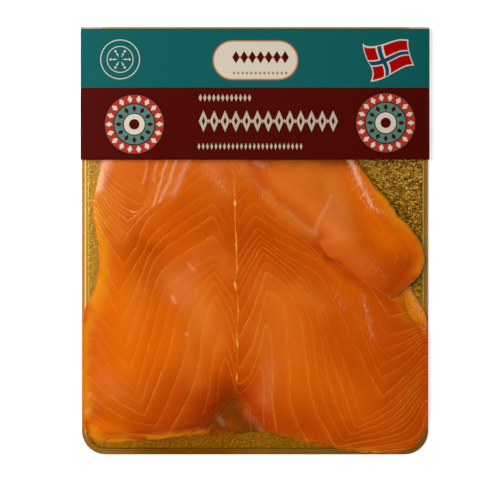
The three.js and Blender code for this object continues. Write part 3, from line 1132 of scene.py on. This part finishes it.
RIGHT_SEPTA = {
    0: [(236, 150), (246, 135), (262, 125), (300, 150), (330, 190), (362, 240), (388, 280),
        (404, 272), (416, 268)],
    2: [(236, 176), (243, 168), (252, 160), (290, 185), (330, 225), (370, 270), (392, 300),
        (405, 295), (414, 285)],
    4: [(236, 206), (243, 194), (252, 186), (285, 207), (325, 245), (360, 290), (386, 334),
        (404, 332), (421, 327)],
    5: [(236, 228), (244, 212), (253, 202), (269, 217), (302, 242), (345, 290), (380, 350),
        (402, 343), (422, 332)],
    7: [(236, 263), (245, 246), (257, 229), (290, 247), (322, 262), (350, 300), (381, 378),
        (403, 364), (424, 343)],
    8: [(236, 271), (247, 252), (259, 235), (285, 258), (318, 275), (341, 315), (383, 397),
        (401, 380), (425, 355)],
    9: [(236, 281), (248, 262), (260.6, 240), (276, 251), (306, 277), (337, 343), (362, 420.6),
        (391, 402), (420, 372)],
    11: [(236, 302), (249, 275), (263, 252), (285, 271), (317.6, 310), (329, 382), (350.7, 435),
        (391, 417), (424, 381)],
    13: [(236, 344), (253, 308), (266, 271), (288.5, 289), (303, 330), (311, 390), (335, 447),
        (400, 432), (426, 400)],
    14: [(236, 375), (255, 338), (266, 289), (283, 303), (289, 350), (292, 405), (315, 456),
        (408, 440), (427, 412)],
    15: [(236, 388), (256, 365), (266, 320), (271, 340), (272, 375), (272, 405), (280, 455),
        (415, 447), (428, 424)],
    17: [(236, 405), (246, 400), (252, 395), (256, 405), (256, 420), (255, 435), (255, 460),
        (425, 460), (430, 440)],
}
RIGHT_CORNERS = (2, 6)
SEAM = [
    (234.4, 150), (234.4, 185), (235, 204), (235, 219), (236, 238), (236.7, 258), (237.3, 268.6),
    (234.4, 282.4), (237.4, 298), (238.5, 311), (236.3, 333.6), (237.8, 345), (236.9, 362.6),
    (236.7, 379), (235.6, 396), (234, 440),
]
# Half the seam's width in millimetres at a pixel's height
SEAM_WIDTHS = [
    (150, -0.6), (176, 0.1), (184, 0.25), (198, 0.3), (203, 0.9), (208, 0.3), (232, 0.3),
    (238, 0.6), (252, 0.5), (255, 0.15), (264, 0.3), (269, 0.8), (275, 0.2), (283, 0.6), (288, 0.5),
    (294, 0.15), (308, 0.25), (311, 0.7), (318, 0.2), (336, 0.2), (344, 0.7), (350, 0.2),
    (365, 0.1), (374, 0.2), (379, 0.6), (384, 0.15), (398, -0.3), (420, -0.8),
]

# Brush strokes that colour the flesh and paint shade and sheen on it, by the mark that they make, and
# those that put painted lights on it
STROKES = {
    "warm": WARM, "deep_and_shade": DEEP_AND_SHADE, "pale": PALE_SHEEN, "pink_sheen": PINK_SHEEN, "amber": AMBER, "brown": BROWN_AND_SHADE,
    "crowd": CROWD, "white_fat": WHITE_FAT,
}
LIGHTS = {"glint": GLINT, "wet": WET}
FLAP_STROKES = {
    "warm": FLAP_WARM, "deep_and_shade": FLAP_DEEP_AND_SHADE, "pale": FLAP_PALE_SHEEN, "pink_sheen": FLAP_PINK_SHEEN, "amber": FLAP_AMBER_AND_HIGHLIGHT,
}
FLAP_LIGHTS = {"glint": FLAP_GLINT, "wet": FLAP_WET}

# The flap's own grain and its septa's spacing, and a seam too thin to show
FLAP_GRAIN = [(346, 160), (372, 200), (404, 236), (414, 262), (392, 296)]
FLAP_SPACING = 9.0
NO_SEAM = -3.0

# Strokes where the flap has fat lines, a cut edge, a firm border, a frayed one and a bulge
FLAP_LINES = [(1, 18, (372, 200), (400, 236), (408, 262))]
FLAP_CUT = [(1, 7, (340, 262), (372, 284), (392, 297), (412, 280), (423, 258), (416, 236))]
FLAP_FIRM = [(1, 26, (362, 160), (398, 216), (423, 256), (392, 297), (340, 262))]
FLAP_FRAYED = [(1, 6, (390, 208), (399, 219))]
FLAP_BULGE = [(1, 13, (384, 200), (396, 214), (404, 224))]


def septa_field():
    """Number of the septum at every place, lofted between the key lines of both sides."""
    field = Field(1.0)
    total, weight = np.zeros(field.x.shape), np.zeros(field.x.shape)
    for keys, corners in ((LEFT_SEPTA, LEFT_CORNERS), (RIGHT_SEPTA, RIGHT_CORNERS)):
        numbers = sorted(keys)
        table = np.array([keys[number] for number in numbers], float)
        for number in np.arange(numbers[0], numbers[-1], 0.04):
            knots = np.array([
                [np.interp(number, numbers, axis) for axis in corner.T] for corner in table.swapaxes(0, 1)
            ])
            stops = [0, *corners, len(knots) - 1]
            line = np.vstack([smooth_curve(knots[a : b + 1], 12) for a, b in zip(stops, stops[1:])])
            u, v = ((evenly(from_photo(line), 0.5) - field.low) / field.step).T
            for dj in (0, 1):
                for di in (0, 1):
                    i, j = np.floor(u).astype(int) + di, np.floor(v).astype(int) + dj
                    near = (1 - np.abs(u - i)) * (1 - np.abs(v - j))
                    kept = (i >= 0) & (j >= 0) & (i < field.x.shape[1]) & (j < field.x.shape[0])
                    np.add.at(total, (j[kept], i[kept]), near[kept] * number)
                    np.add.at(weight, (j[kept], i[kept]), near[kept])
    known = weight > 0.2
    field.values = np.where(known, total / np.maximum(weight, 1e-9), 0)
    field.fill(known)
    across = np.gradient(blurred(field.values, 1.0), field.step)
    spacing = Field(1.0)
    spacing.values = 1 / np.maximum(np.hypot(*across), 0.03)
    return field, spacing


SEPTA, SPACING = septa_field()


def flesh_marks(x, y, rim, firm, role):
    """What the flesh's material reads at each point of a slice. The flap's own marks hold where firm."""
    seam_x, seam_y = from_photo(SEAM).T
    order = np.argsort(seam_y)
    widths = from_photo([(0, row) for row, _ in SEAM_WIDTHS])[:, 1]
    half = np.array([width for _, width in SEAM_WIDTHS])
    marks = {key: painted(x, y, strokes) for key, strokes in STROKES.items()}
    marks |= {key: painted(x, y, strokes, 0.35) for key, strokes in LIGHTS.items()}
    marks |= {
        "septum": SEPTA.at(x, y),
        "spacing": SPACING.at(x, y),
        "line": 0.74 * (1 - painted(x, y, FEW_LINES)) + 0.26 * painted(x, y, BOLD_LINES),
        "seam_side": x - np.interp(y, seam_y[order], seam_x[order]),
        "seam_width": np.interp(-y, -widths, half),
        "rim": rim,
        "cut_edge": np.zeros(x.shape),
    }
    if role == "slice_flap":
        grain = smooth_curve(from_photo(FLAP_GRAIN), 8)
        marks["septum"] = near_line(x, y, grain)[0] / FLAP_SPACING
        marks["spacing"] = np.full(x.shape, FLAP_SPACING)
        marks["line"] = 0.45 * painted(x, y, FLAP_LINES) * firm
        marks["crowd"] = np.full(x.shape, 0.8)
        marks["seam_width"] = np.full(x.shape, NO_SEAM)
        marks["cut_edge"] = np.maximum(0.55 * painted(x, y, FLAP_CUT), painted(x, y, FLAP_RIGHT_EDGE_HIGHLIGHT))
        for key, strokes in FLAP_STROKES.items():
            marks[key] = marks[key] * (1 - firm) + painted(x, y, strokes) * firm
        for key, strokes in FLAP_LIGHTS.items():
            marks[key] = np.maximum(painted(x, y, strokes, 0.6), marks[key] * (1 - firm))
        # Painted shadow of the sleeve's edge on the flap
        marks["brown"] = painted(x, y, SLEEVE_SHADE)
    if role == "slice_under":
        marks["line"] = np.full(x.shape, 0.3)
        marks["amber"] = np.maximum(marks["amber"], 0.6 * smoothstep(5, 0, rim))
        marks["seam_width"] = np.full(x.shape, NO_SEAM)
    return marks


def slice_piece(node, step):
    """A slice of flesh: a soft slab with rounded, slightly ragged edges and raised bands."""
    outline, under, over = LAYERS[node]
    tangent = np.roll(outline, -1, 0) - np.roll(outline, 1, 0)
    sideways = np.stack([tangent[:, 1], -tangent[:, 0]], 1) / np.hypot(*tangent.T)[:, None]
    ox, oy = outline.T
    low_left = smoothstep(-95, -104, oy) * smoothstep(95, 60, ox)
    ragged = (0.18 + 0.45 * low_left) * (noise(ox, oy, 3.1, 11) + 0.6 * noise(ox, oy, 1.6, 12))
    flap = node == "slice_flap"
    if flap:
        ragged += 1.1 * painted(ox, oy, FLAP_FRAYED) * noise(ox, oy, 1.3, 13)
    ragged = np.minimum(ragged, RAGGED_MOST)
    if flap:
        ragged += BULGE_MOST * painted(ox, oy, FLAP_BULGE)
    loop = outline + sideways * ragged[:, None]
    loop[:, 0] += np.sign(loop[:, 0]) * 1.3 * smoothstep(86, 93, np.abs(loop[:, 0]))
    loop[:, 0] = np.clip(loop[:, 0], BOARD_LOW[0] + 0.2, BOARD_HIGH[0] - 0.2)
    patch = patch_in(loop, step)
    x, y, _ = patch
    rim = near_line(x, y, closed_line(loop))[0]
    bottom = under.at(x, y)
    thick = np.maximum(over.at(x, y) - bottom, 0.3)
    firm = np.ones(x.shape)
    sharp = smoothstep(0.15, 0.6, painted(x, y, FLAP_FIRM)) if flap else 0 * firm
    radius = SLICE_EDGE - (SLICE_EDGE - CUT_EDGE) * sharp
    shoulder = np.sqrt(1 - (1 - np.clip(rim / radius, 0, 1)) ** 2)
    if flap:
        thick *= np.maximum(sharp, 0.04 + 0.96 * smoothstep(0, 15, rim))
        firm = np.maximum(sharp, smoothstep(1, 11, rim))
        shoulder = shoulder * sharp + smoothstep(-0.5, 7, rim) * (1 - sharp)
    if node == "slice_main":
        soft = smoothstep(0.1, 0.5, painted(x, y, SOFT_EDGES))
        shoulder = shoulder * (1 - soft) + smoothstep(-1, 8, rim) * soft
    if not flap:
        side = BOARD_HIGH[0]
        shoulder = np.maximum(shoulder, smoothstep(side - 5, side - 1.5, np.abs(x)))
    marks = flesh_marks(x, y, rim, firm, node)
    bands = np.abs(np.sin(np.pi * marks["septum"])) - 0.64
    relief = 0.12 * bands * smoothstep(0, 4, rim) + 0.10 * noise(x, y, 7, 21) + 0.05 * noise(x, y, 3, 22)
    relief *= np.minimum(1, thick / 2)
    top = bottom + thick * shoulder + relief * shoulder - GAP * (1 - shoulder)
    bottom = np.minimum(bottom, top - 0.1)
    vertices, faces, source = slab(patch, top, bottom)
    marks = {key: values[source] for key, values in marks.items()}
    made = piece(node.replace("slice", "salmon"), vertices, faces, [FLESH], marks, soft=len(patch[2]))
    return made, (x, y, top)


# The film

def stack_height(tops):
    """The heights of all that lies under the film, on a grid."""
    field = Field(1.0, margin=2.0)
    field.values = board_level(field.x, field.y)
    for x, y, top in tops:
        total, weight = np.zeros(field.x.shape), np.zeros(field.x.shape)
        i = np.round((x - field.low[0]) / field.step).astype(int)
        j = np.round((y - field.low[1]) / field.step).astype(int)
        np.add.at(total, (j, i), top)
        np.add.at(weight, (j, i), 1.0)
        over = np.maximum(field.values, total / np.maximum(weight, 1))
        field.values = np.where(weight > 0, over, field.values)
    return field


def shifted_extreme(values, radius, pick):
    """The highest or lowest value within a radius of each grid point."""
    reach = range(-radius, radius + 1)
    padded = np.pad(values, radius, "edge")
    rows, columns = values.shape
    found = values
    for dj in reach:
        for di in reach:
            if dj * dj + di * di <= radius * radius:
                part = padded[radius + dj : radius + dj + rows, radius + di : radius + di + columns]
                found = pick(found, part)
    return found


def film_piece(tops):
    """Skin film pulled down over the slices, bridging their steps, and sealed to the rim."""
    lying = stack_height(tops)
    bridged = shifted_extreme(shifted_extreme(lying.values, 3, np.maximum), 3, np.minimum)
    taut = Field(1.0, margin=2.0)
    taut.values = np.maximum(blurred(bridged, 1.4), blurred(lying.values, 0.6) + 0.02)
    slope = np.hypot(*np.gradient(blurred(lying.values, 1.5)))
    steep = Field(1.0, margin=2.0)
    steep.values = blurred(smoothstep(0.08, 0.4, slope), 1.5)
    patch = patch_in(evenly(rounded_board(0.12), 1.0, closed=True), FILM_STEP)
    x, y, quads = patch
    edge = from_edge(x, y)
    pleats = steep.at(x, y) * (0.16 * noise(x, y, 2.4, 41) + 0.10 * noise(x, y, 5.0, 42))
    ripples = 0.05 * noise(x, y, 9, 43)
    clear = FILM_CLEAR + smoothstep(1.5, 5, edge) * (pleats + ripples + 0.06)
    top = taut.at(x, y) + np.maximum(clear, FILM_CLEAR)
    bottom = top - FILM_THICK
    sealed = (edge < 0.3) & (y < SLEEVE_LOW[1] - 2)
    bottom[sealed] = np.minimum(bottom, board_level(x, y) - RIM_DROP + FILM_THICK)[sealed]
    vertices = np.vstack([np.stack([x, y, top], 1), np.stack([x, y, bottom], 1)])
    return piece("skin_film", vertices, shell(quads, len(x)), [FILM], soft=len(quads))


# The sleeve

def front_height(x):
    """Height of the sleeve's domed front above the table."""
    half = SLEEVE_HIGH[0] - SLEEVE_FOLD / 2
    return SLEEVE_SIDE + (SLEEVE_HIGH[2] - SLEEVE_SIDE) * (1 - np.minimum(np.abs(x) / half, 1) ** 4)


def band_section(inset):
    """Section of the folded card, pulled in from its outer side."""
    half = SLEEVE_HIGH[0] - inset
    radius = SLEEVE_FOLD - inset
    front = (half - radius / 2) * np.cos(np.linspace(0, math.pi, 61))
    rise = front_height(front * (SLEEVE_HIGH[0] - SLEEVE_FOLD / 2) / (half - radius / 2)) - inset
    foot = np.radians(np.linspace(-90, 0, 6))
    right = np.stack([half - radius + radius * np.cos(foot), inset + radius + radius * np.sin(foot)], 1)
    fold = [(half, SLEEVE_SIDE - inset - radius), (half - 0.1, SLEEVE_SIDE - inset - 0.35 * radius)]
    left = right[::-1] * (-1, 1)
    turned = np.array(fold[::-1]) * (-1, 1)
    return np.vstack([right, fold, np.stack([front, rise], 1), turned, left])


def band_tree():
    """A folded card band: a section swept across its depth, its front cut lower than its back."""
    names = ("Thickness", "Low Edge", "High Edge", "Front Edge", "Back Height")
    graph, given, path = geometry_tree("folded card band", [(name, "Float") for name in names])
    low, high = given.outputs["Low Edge"], given.outputs["High Edge"]
    wall = graph.node("GeometryNodeCurvePrimitiveQuadrilateral", mode="RECTANGLE")
    graph.join(given.outputs["Thickness"], wall.inputs[0])
    graph.join(graph.minus(high, low), wall.inputs[1])
    inputs = {"Curve": path, "Profile Curve": wall.outputs[0]}
    band = graph.node("GeometryNodeCurveToMesh", inputs).outputs[0]
    moved = graph.node("ShaderNodeCombineXYZ", {"Y": graph.times(graph.plus(high, low), 0.5)}).outputs[0]
    inputs = {"Geometry": band, "Translation": moved, "Rotation": (math.pi / 2, 0, 0)}
    stood = graph.node("GeometryNodeTransform", inputs).outputs[0]
    x, y, z = graph.position()
    trimmed = graph.math("MINIMUM", y, given.outputs["Front Edge"])
    short = graph.node("ShaderNodeCombineXYZ", {"X": x, "Y": trimmed, "Z": z}).outputs[0]
    inputs = {0: z, 1: given.outputs["Back Height"]}
    front = graph.node("FunctionNodeCompare", inputs, operation="GREATER_THAN").outputs[0]
    inputs = {"Geometry": stood, "Selection": front, "Position": short}
    cut = graph.node("GeometryNodeSetPosition", inputs).outputs[0]
    return finished(graph, given, cut)


def band_piece():
    """The sleeve's own card, one folded band."""
    section = band_section(CARD_INSET + CARD_THICK / 2)
    base = wire("band section", [(x, z, 0) for x, z in section], True)
    sizes = {
        "Thickness": CARD_THICK * MM, "Low Edge": SLEEVE_LOW[1] * MM, "High Edge": SLEEVE_HIGH[1] * MM,
        "Front Edge": SLEEVE_FRONT_TOP * MM, "Back Height": SLEEVE_FOLD * MM, "Finish": RAW_CARD,
    }
    return facing_out(grown("card_band", base, band_tree(), sizes))


def round_loop(centre, radius, count=48):
    angle = np.linspace(0, 2 * math.pi, count, endpoint=False)
    return np.stack([centre[0] + radius * np.cos(angle), centre[1] + radius * np.sin(angle)], 1)


def stadium_loop(x0, x1, y0, y1):
    """A bar with round ends, in pixels."""
    radius = (y1 - y0) / 2
    angle = np.radians(np.linspace(-90, 90, 15))
    right = np.stack([x1 - radius + radius * np.cos(angle), y0 + radius + radius * np.sin(angle)], 1)
    left = np.stack([x0 + radius - radius * np.cos(angle), y0 + radius - radius * np.sin(angle)], 1)
    return np.vstack([right, left])


# Corners of the waving flag, in pixels, and where its cross runs, from 0 to 1
FLAG_TOP = [(362.4, 43.9), (366, 46.3), (373, 46.6), (383, 44.4), (393, 41), (400, 39.4), (408.2, 39.9)]
FLAG_FOOT = [(370.2, 82.2), (375, 81.4), (384, 78.4), (393, 73.4), (400, 69.4), (407, 66.4), (414.2, 65.6)]
FLAG_LEFT = [(362.4, 43.9), (363.2, 50.0), (366.6, 60.0), (371.0, 68.0), (372.3, 75.0), (370.2, 82.2)]
FLAG_RIGHT = [(408.2, 39.9), (408.2, 46.0), (409.6, 54.0), (411.6, 60.0), (414.2, 65.6)]
FLAG_ACROSS = ((0.03, 0.285), (0.455, 0.975))
FLAG_DOWN = ((0.05, 0.4), (0.6, 0.955))
FLAG_CROSS = (((0.32, 0.41), (0.03, 0.97)), ((0.025, 0.98), (0.44, 0.56)))


def flag_loop(across, down):
    """A rectangle of the flag, given by shares of its width and height, in pixels."""
    lines = [evenly(smooth_curve(side, 8), 0.5) for side in (FLAG_TOP, FLAG_FOOT, FLAG_LEFT, FLAG_RIGHT)]

    def along(line, share):
        return np.array([np.interp(share, np.linspace(0, 1, len(line)), line[:, k]) for k in (0, 1)])

    def point(u, v):
        """A place on the cloth that its four curved sides stretch between them."""
        top, foot, left, right = lines
        upper, lower = along(top, u), along(foot, u)
        outer, inner = along(left, v), along(right, v)
        flat = (top[0] * (1 - u) + top[-1] * u) * (1 - v) + (foot[0] * (1 - u) + foot[-1] * u) * v
        return upper * (1 - v) + lower * v + outer * (1 - u) + inner * u - flat

    u0, u1 = across
    v0, v1 = down
    steps = np.linspace(0, 1, 12)
    sides = [
        [point(u0 + (u1 - u0) * t, v0) for t in steps],
        [point(u1, v0 + (v1 - v0) * t) for t in steps],
        [point(u1 - (u1 - u0) * t, v1) for t in steps],
        [point(u0, v1 - (v1 - v0) * t) for t in steps],
    ]
    return np.vstack([side[:-1] for side in sides])


ROUNDEL = (120.3, 59.7)
LEFT_ROSETTE = (134.5, 124.5)
RIGHT_ROSETTE = (385.5, 123.0)
PLAQUE = (212.7, 298.2, 40.8, 80.3)
TEAL_FOOT = 87.8
ROUNDEL_RINGS = ((19.9, CREAM), (19.0, TEAL), (13.4, CREAM), (12.6, TEAL))
ROSETTE_RINGS = (
    (31.0, INK_BLACK), (29.6, CORAL), (21.0, INK_BLACK), (20.0, SOFT_TEAL), (11.4, INK_BLACK),
    (10.4, CREAM), (5.2, MAROON),
)


def divided(loop, longest):
    """The same loop with no side longer than that."""
    cut = []
    for start, end in zip(loop, np.roll(loop, -1, 0)):
        count = max(1, math.ceil(np.hypot(*(end - start)) / longest))
        cut.append(start + (end - start) * (np.arange(count) / count)[:, None])
    return np.vstack(cut)


def print_regions():
    """Flat areas of the print, later ones on top, as loops in millimetres with their inks."""
    left, right = (MIDDLE_PIXEL[0] + side * 192 for side in (-1, 1))
    regions = [([(left, TEAL_FOOT), (right, TEAL_FOOT), (right, -20), (left, -20)], TEAL)]
    regions += [(round_loop(ROUNDEL, radius), colour) for radius, colour in ROUNDEL_RINGS]
    x0, x1, y0, y1 = PLAQUE
    regions.append((stadium_loop(x0, x1, y0, y1), ORANGE))
    regions.append((stadium_loop(x0 + 1.3, x1 - 1.3, y0 + 1.3, y1 - 1.3), CREAM))
    regions.append((flag_loop((0, 1), (0, 1)), CREAM))
    for across in FLAG_ACROSS:
        for down in FLAG_DOWN:
            regions.append((flag_loop(across, down), SCARLET))
    for across, down in FLAG_CROSS:
        regions.append((flag_loop(across, down), NAVY))
    for centre in (LEFT_ROSETTE, RIGHT_ROSETTE):
        regions += [(round_loop(centre, radius), colour) for radius, colour in ROSETTE_RINGS]
    return [(divided(from_photo(loop), 2.5), colour) for loop, colour in regions]


def skin_place(s, lift):
    """Where a place along the sleeve's outer side lies: across the front, then down the sides."""
    turn = SLEEVE_HIGH[0] - SLEEVE_FOLD / 2 - 0.3
    half = SLEEVE_HIGH[0]
    fold = [(turn, front_height(turn)), (half - 0.12, SLEEVE_SIDE - 0.25), (half, SLEEVE_SIDE - 0.8)]
    fold = smooth_curve([*fold, (half, 0.5)], 6)
    length = np.concatenate([[0], np.cumsum(np.hypot(*np.diff(fold, axis=0).T))])
    past = np.maximum(np.abs(s) - turn, 0)
    x = np.where(np.abs(s) <= turn, s, np.sign(s) * np.interp(past, length, fold[:, 0]))
    z = np.where(np.abs(s) <= turn, front_height(s), np.interp(past, length, fold[:, 1]))
    return x + np.sign(s) * lift * (past > 0.4), z + lift * (past <= 0.4), turn + length[-1]


def print_piece():
    """The printed face of the sleeve: one skin over its front and sides, cut where colours meet."""
    reach = skin_place(np.array([0.0]), 0.0)[2]
    low, high = SLEEVE_LOW[1], SLEEVE_FRONT_TOP
    regions = print_regions()
    border = []
    for sx, sy, ex, ey in ((-1, 0, 1, 0), (1, 0, 1, 1), (1, 1, -1, 1), (-1, 1, -1, 0)):
        start = np.array([sx * reach, low + (high - low) * sy])
        end = np.array([ex * reach, low + (high - low) * ey])
        count = 96 if sy == ey else 36
        border.append(start + (end - start) * np.linspace(0, 1, count, endpoint=False)[:, None])
    border = np.vstack(border)
    points = [tuple(p) for p in border]
    edges = [(k, (k + 1) % len(border)) for k in range(len(border))]
    for loop, _ in regions:
        first = len(points)
        points += [(np.clip(px, -reach, reach), np.clip(py, low, high)) for px, py in loop]
        edges += [(first + k, first + (k + 1) % len(loop)) for k in range(len(loop))]
    fold = SLEEVE_HIGH[0] - SLEEVE_FOLD
    grid = np.meshgrid(np.linspace(1 - fold, fold - 1, 73), np.arange(low + 1.5, high, 3.0))
    points += list(zip(grid[0].ravel(), grid[1].ravel()))
    folds = np.linspace(fold, reach - 0.3, 16)
    levels = np.linspace(low + 0.6, high - 0.6, 26)
    points += [(side * s, y) for side in (-1, 1) for s in folds for y in levels]
    made = delaunay_2d_cdt([Vector(p) for p in points], edges, [], 0, 1e-4)
    flat = np.array([tuple(v) for v in made[0]])
    faces = np.array(made[2])
    middle = flat[faces].mean(1)
    inks = [MAROON]
    index = np.zeros(len(faces), int)
    for loop, colour in regions:
        if colour not in inks:
            inks.append(colour)
        index[inside(middle[:, 0], middle[:, 1], loop)] = inks.index(colour)
    inks.append(RAW_CARD)
    top_x, top_z, _ = skin_place(flat[:, 0], 0.0)
    low_x, low_z, _ = skin_place(flat[:, 0], -PRINT_THICK)
    sides = [np.stack([x, flat[:, 1], z], 1) for x, z in ((top_x, top_z), (low_x, low_z))]
    closed = shell(faces, len(flat))
    indices = index.tolist() + [len(inks) - 1] * (len(closed) - len(faces))
    return piece("printed_front", np.vstack(sides), closed, inks, None, indices, len(faces))


def marks_tree():
    """A row of flat printed marks along a path, laid on a domed front of that rise and width."""
    inputs = [(name, "Int") for name in ("Count", "Corners")]
    names = ("Length", "Height", "Thickness", "Side Height", "Rise", "Half Width")
    inputs += [(name, "Float") for name in names]
    graph, given, path = geometry_tree("row of printed marks", inputs)
    inputs = {"Curve": path, "Count": given.outputs["Count"]}
    spots = graph.node("GeometryNodeCurveToPoints", inputs, mode="COUNT")
    inputs = {"Vertices": given.outputs["Corners"], "Radius": 0.5, "Depth": 1.0}
    mark = graph.node("GeometryNodeMeshCylinder", inputs).outputs[0]
    size = graph.node("ShaderNodeCombineXYZ", {
        "X": given.outputs["Length"], "Y": given.outputs["Height"], "Z": given.outputs["Thickness"],
    }).outputs[0]
    cut = graph.node("GeometryNodeTransform", {"Geometry": mark, "Scale": size}).outputs[0]
    inputs = {"Vector": spots.outputs["Tangent"]}
    turned = graph.node("FunctionNodeAlignRotationToVector", inputs, axis="X", pivot_axis="Z")
    inputs = {"Points": spots.outputs[0], "Instance": cut, "Rotation": turned.outputs[0]}
    copies = graph.node("GeometryNodeInstanceOnPoints", inputs).outputs[0]
    real = graph.node("GeometryNodeRealizeInstances", {"Geometry": copies}).outputs[0]
    share = graph.math("DIVIDE", graph.position()[0], given.outputs["Half Width"])
    share = graph.math("ABSOLUTE", share)
    dome = graph.minus(1.0, graph.math("POWER", share, 4.0))
    lifted = graph.plus(graph.times(dome, given.outputs["Rise"]), given.outputs["Side Height"])
    offset = graph.node("ShaderNodeCombineXYZ", {"Z": lifted}).outputs[0]
    laid = graph.node("GeometryNodeSetPosition", {"Geometry": real, "Offset": offset}).outputs[0]
    return finished(graph, given, laid)


MARKS = marks_tree()


def mark_row(name, pixels, closed, count, length, height, colour, lift=0.03):
    """Four-cornered marks on the sleeve's front along a line of pixels, their sizes in pixels too."""
    flat = from_photo(pixels)
    base = wire("path of " + name, np.column_stack([flat, np.full(len(flat), lift)]), closed)
    sizes = {
        "Count": count, "Corners": 4, "Length": length * PIXEL * MM, "Height": height * PIXEL * MM,
        "Thickness": MARK_THICK * MM, "Side Height": SLEEVE_SIDE * MM,
        "Rise": (SLEEVE_HIGH[2] - SLEEVE_SIDE) * MM,
        "Half Width": (SLEEVE_HIGH[0] - SLEEVE_FOLD / 2) * MM, "Finish": colour,
    }
    return grown(name, base, MARKS, sizes)


# Rows of marks: name, ends and height in pixels, count, each mark's width and height, ink and lift
MARK_LINES = [
    ("plaque_lozenges", 236, 285, 57.6, 7, 7.4, 12.4, MAROON, 0.03),
    ("plaque_beads", 240, 281, 57.6, 6, 2.0, 3.4, ORANGE, 0.03),
    ("plaque_dashes", 234, 286, 73.4, 13, 2.8, 3.6, BRONZE, 0.03),
    ("upper_lozenges", 200.5, 249.5, 98.1, 12, 3.4, 7.6, SOFT_CREAM, 0.03),
    ("middle_lozenges", 203.5, 333, 121.4, 13, 9.2, 21.5, SOFT_CREAM, 0.03),
    ("middle_hollows", 203.5, 333, 121.4, 13, 3.4, 8.6, MAROON, 0.06),
    ("middle_beads", 208.9, 327.6, 121.4, 12, 2.4, 4.4, SOFT_CREAM, 0.03),
    ("lower_lozenges", 199, 301, 146.6, 25, 2.8, 6.8, SOFT_CREAM, 0.03),
]
PETALS = [("_outer_petals", 25.3, 18, 5.2, 7.4, CREAM), ("_inner_petals", 15.7, 12, 4.6, 7.2, MAROON)]


def level_line(x0, x1, y):
    return [(x, y) for x in np.linspace(x0, x1, 40)]


def ornaments():
    """Plain rows of marks and petals on the sleeve's front."""
    made = []
    for name, radius, width, height in (("star_arms", 5.6, 1.5, 6.4), ("star_tips", 9.4, 2.8, 2.8)):
        made.append(mark_row(name, round_loop(ROUNDEL, radius, 60), True, 6, width, height, CREAM))
    for name, *line, count, width, height, colour, lift in MARK_LINES:
        made.append(mark_row(name, level_line(*line), False, count, width, height, colour, lift))
    for side, centre in (("left", LEFT_ROSETTE), ("right", RIGHT_ROSETTE)):
        for kind, radius, *sizes in PETALS:
            made.append(mark_row(side + kind, round_loop(centre, radius, 96), True, *sizes))
    return made


def back_piece():
    """The sleeve's printed back panel with its glued seam."""
    half = SLEEVE_HIGH[0] - SLEEVE_FOLD
    x = np.linspace(-half, half, 49)
    y = np.linspace(SLEEVE_LOW[1] + 0.05, SLEEVE_HIGH[1] - 0.05, 25)
    gx, gy = np.meshgrid(x, y)
    seam = from_photo([(300, 0)])[0, 0]
    step = 0.05 * smoothstep(seam - 0.6, seam + 0.6, gx)
    number = np.arange(gx.size).reshape(gx.shape)
    around = [number[:-1, :-1], number[1:, :-1], number[1:, 1:], number[:-1, 1:]]
    quads = np.stack(around, -1).reshape(-1, 4)
    low = np.stack([gx.ravel(), gy.ravel(), (0.005 + step).ravel()], 1)
    high = low.copy()
    high[:, 2] = 0.1
    foot = from_photo([(0, TEAL_FOOT)])[0, 1]
    index = (gy[:-1, :-1].ravel() > foot).astype(int).tolist()
    closed = shell(quads, gx.size)
    indices = index + [0] * (len(closed) - len(quads))
    return piece("printed_back", np.vstack([low, high]), closed, [MAROON, TEAL], None, indices)


# The studio

def softbox(name, place, size, power):
    """A rectangle of soft light that is turned to the middle of the scene."""
    light = bpy.data.lights.new(name, "AREA")
    light.shape = "RECTANGLE"
    light.size, light.size_y = size
    light.energy = power
    made = placed(name, light)
    made.location = place
    made.rotation_euler = (-Vector(place)).to_track_quat("-Z", "Y").to_euler()


def studio():
    """Pale floor, soft light mainly from the upper left, and the camera straight above."""
    half = 1.5
    corners = [(-half, -half, 0), (half, -half, 0), (half, half, 0), (-half, half, 0)]
    floor = piece("studio_floor", np.array(corners) / MM, [[0, 1, 2, 3]], [PAPER])
    softbox("key softbox", (-0.66, 0.27, 0.66), (1.0, 1.0), 13)
    softbox("side softbox", (1.2, -0.3, 0.75), (0.9, 0.9), 6.5)
    softbox("low softbox", (0.0, -1.0, 0.9), (1.0, 0.6), 3)
    scene = bpy.context.scene
    world = bpy.data.worlds.new("studio air")
    world.use_nodes = True
    air = world.node_tree.nodes["Background"]
    air.inputs["Color"].default_value = (1, 1, 1, 1)
    air.inputs["Strength"].default_value = 0.08
    scene.world = world
    scene.view_settings.view_transform = "Standard"
    camera = bpy.data.cameras.new("overhead camera")
    camera.sensor_width = 36
    camera.lens = 600
    distance = PHOTO_PIXELS * PIXEL * MM * camera.lens / camera.sensor_width
    eye = placed("overhead camera", camera)
    x, y = from_photo([(PHOTO_PIXELS / 2, PHOTO_PIXELS / 2)])[0] * MM
    eye.location = (x, y, distance)
    scene.camera = eye


board = board_piece()
rim = rim_piece()
under, under_top = slice_piece("slice_under", UNDER_STEP)
main, main_top = slice_piece("slice_main", SLICE_STEP)
flap, flap_top = slice_piece("slice_flap", SLICE_STEP)
film = film_piece([under_top, main_top, flap_top])
band = band_piece()
front = print_piece()
back = back_piece()
marks = ornaments()
studio()

for part in (board, rim, under, main, flap, film, band, front, back, *marks):
    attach(part, "root")
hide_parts("board")
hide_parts("slice_under")
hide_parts("slice_main")
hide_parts("slice_flap")
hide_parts("film")
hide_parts("sleeve")
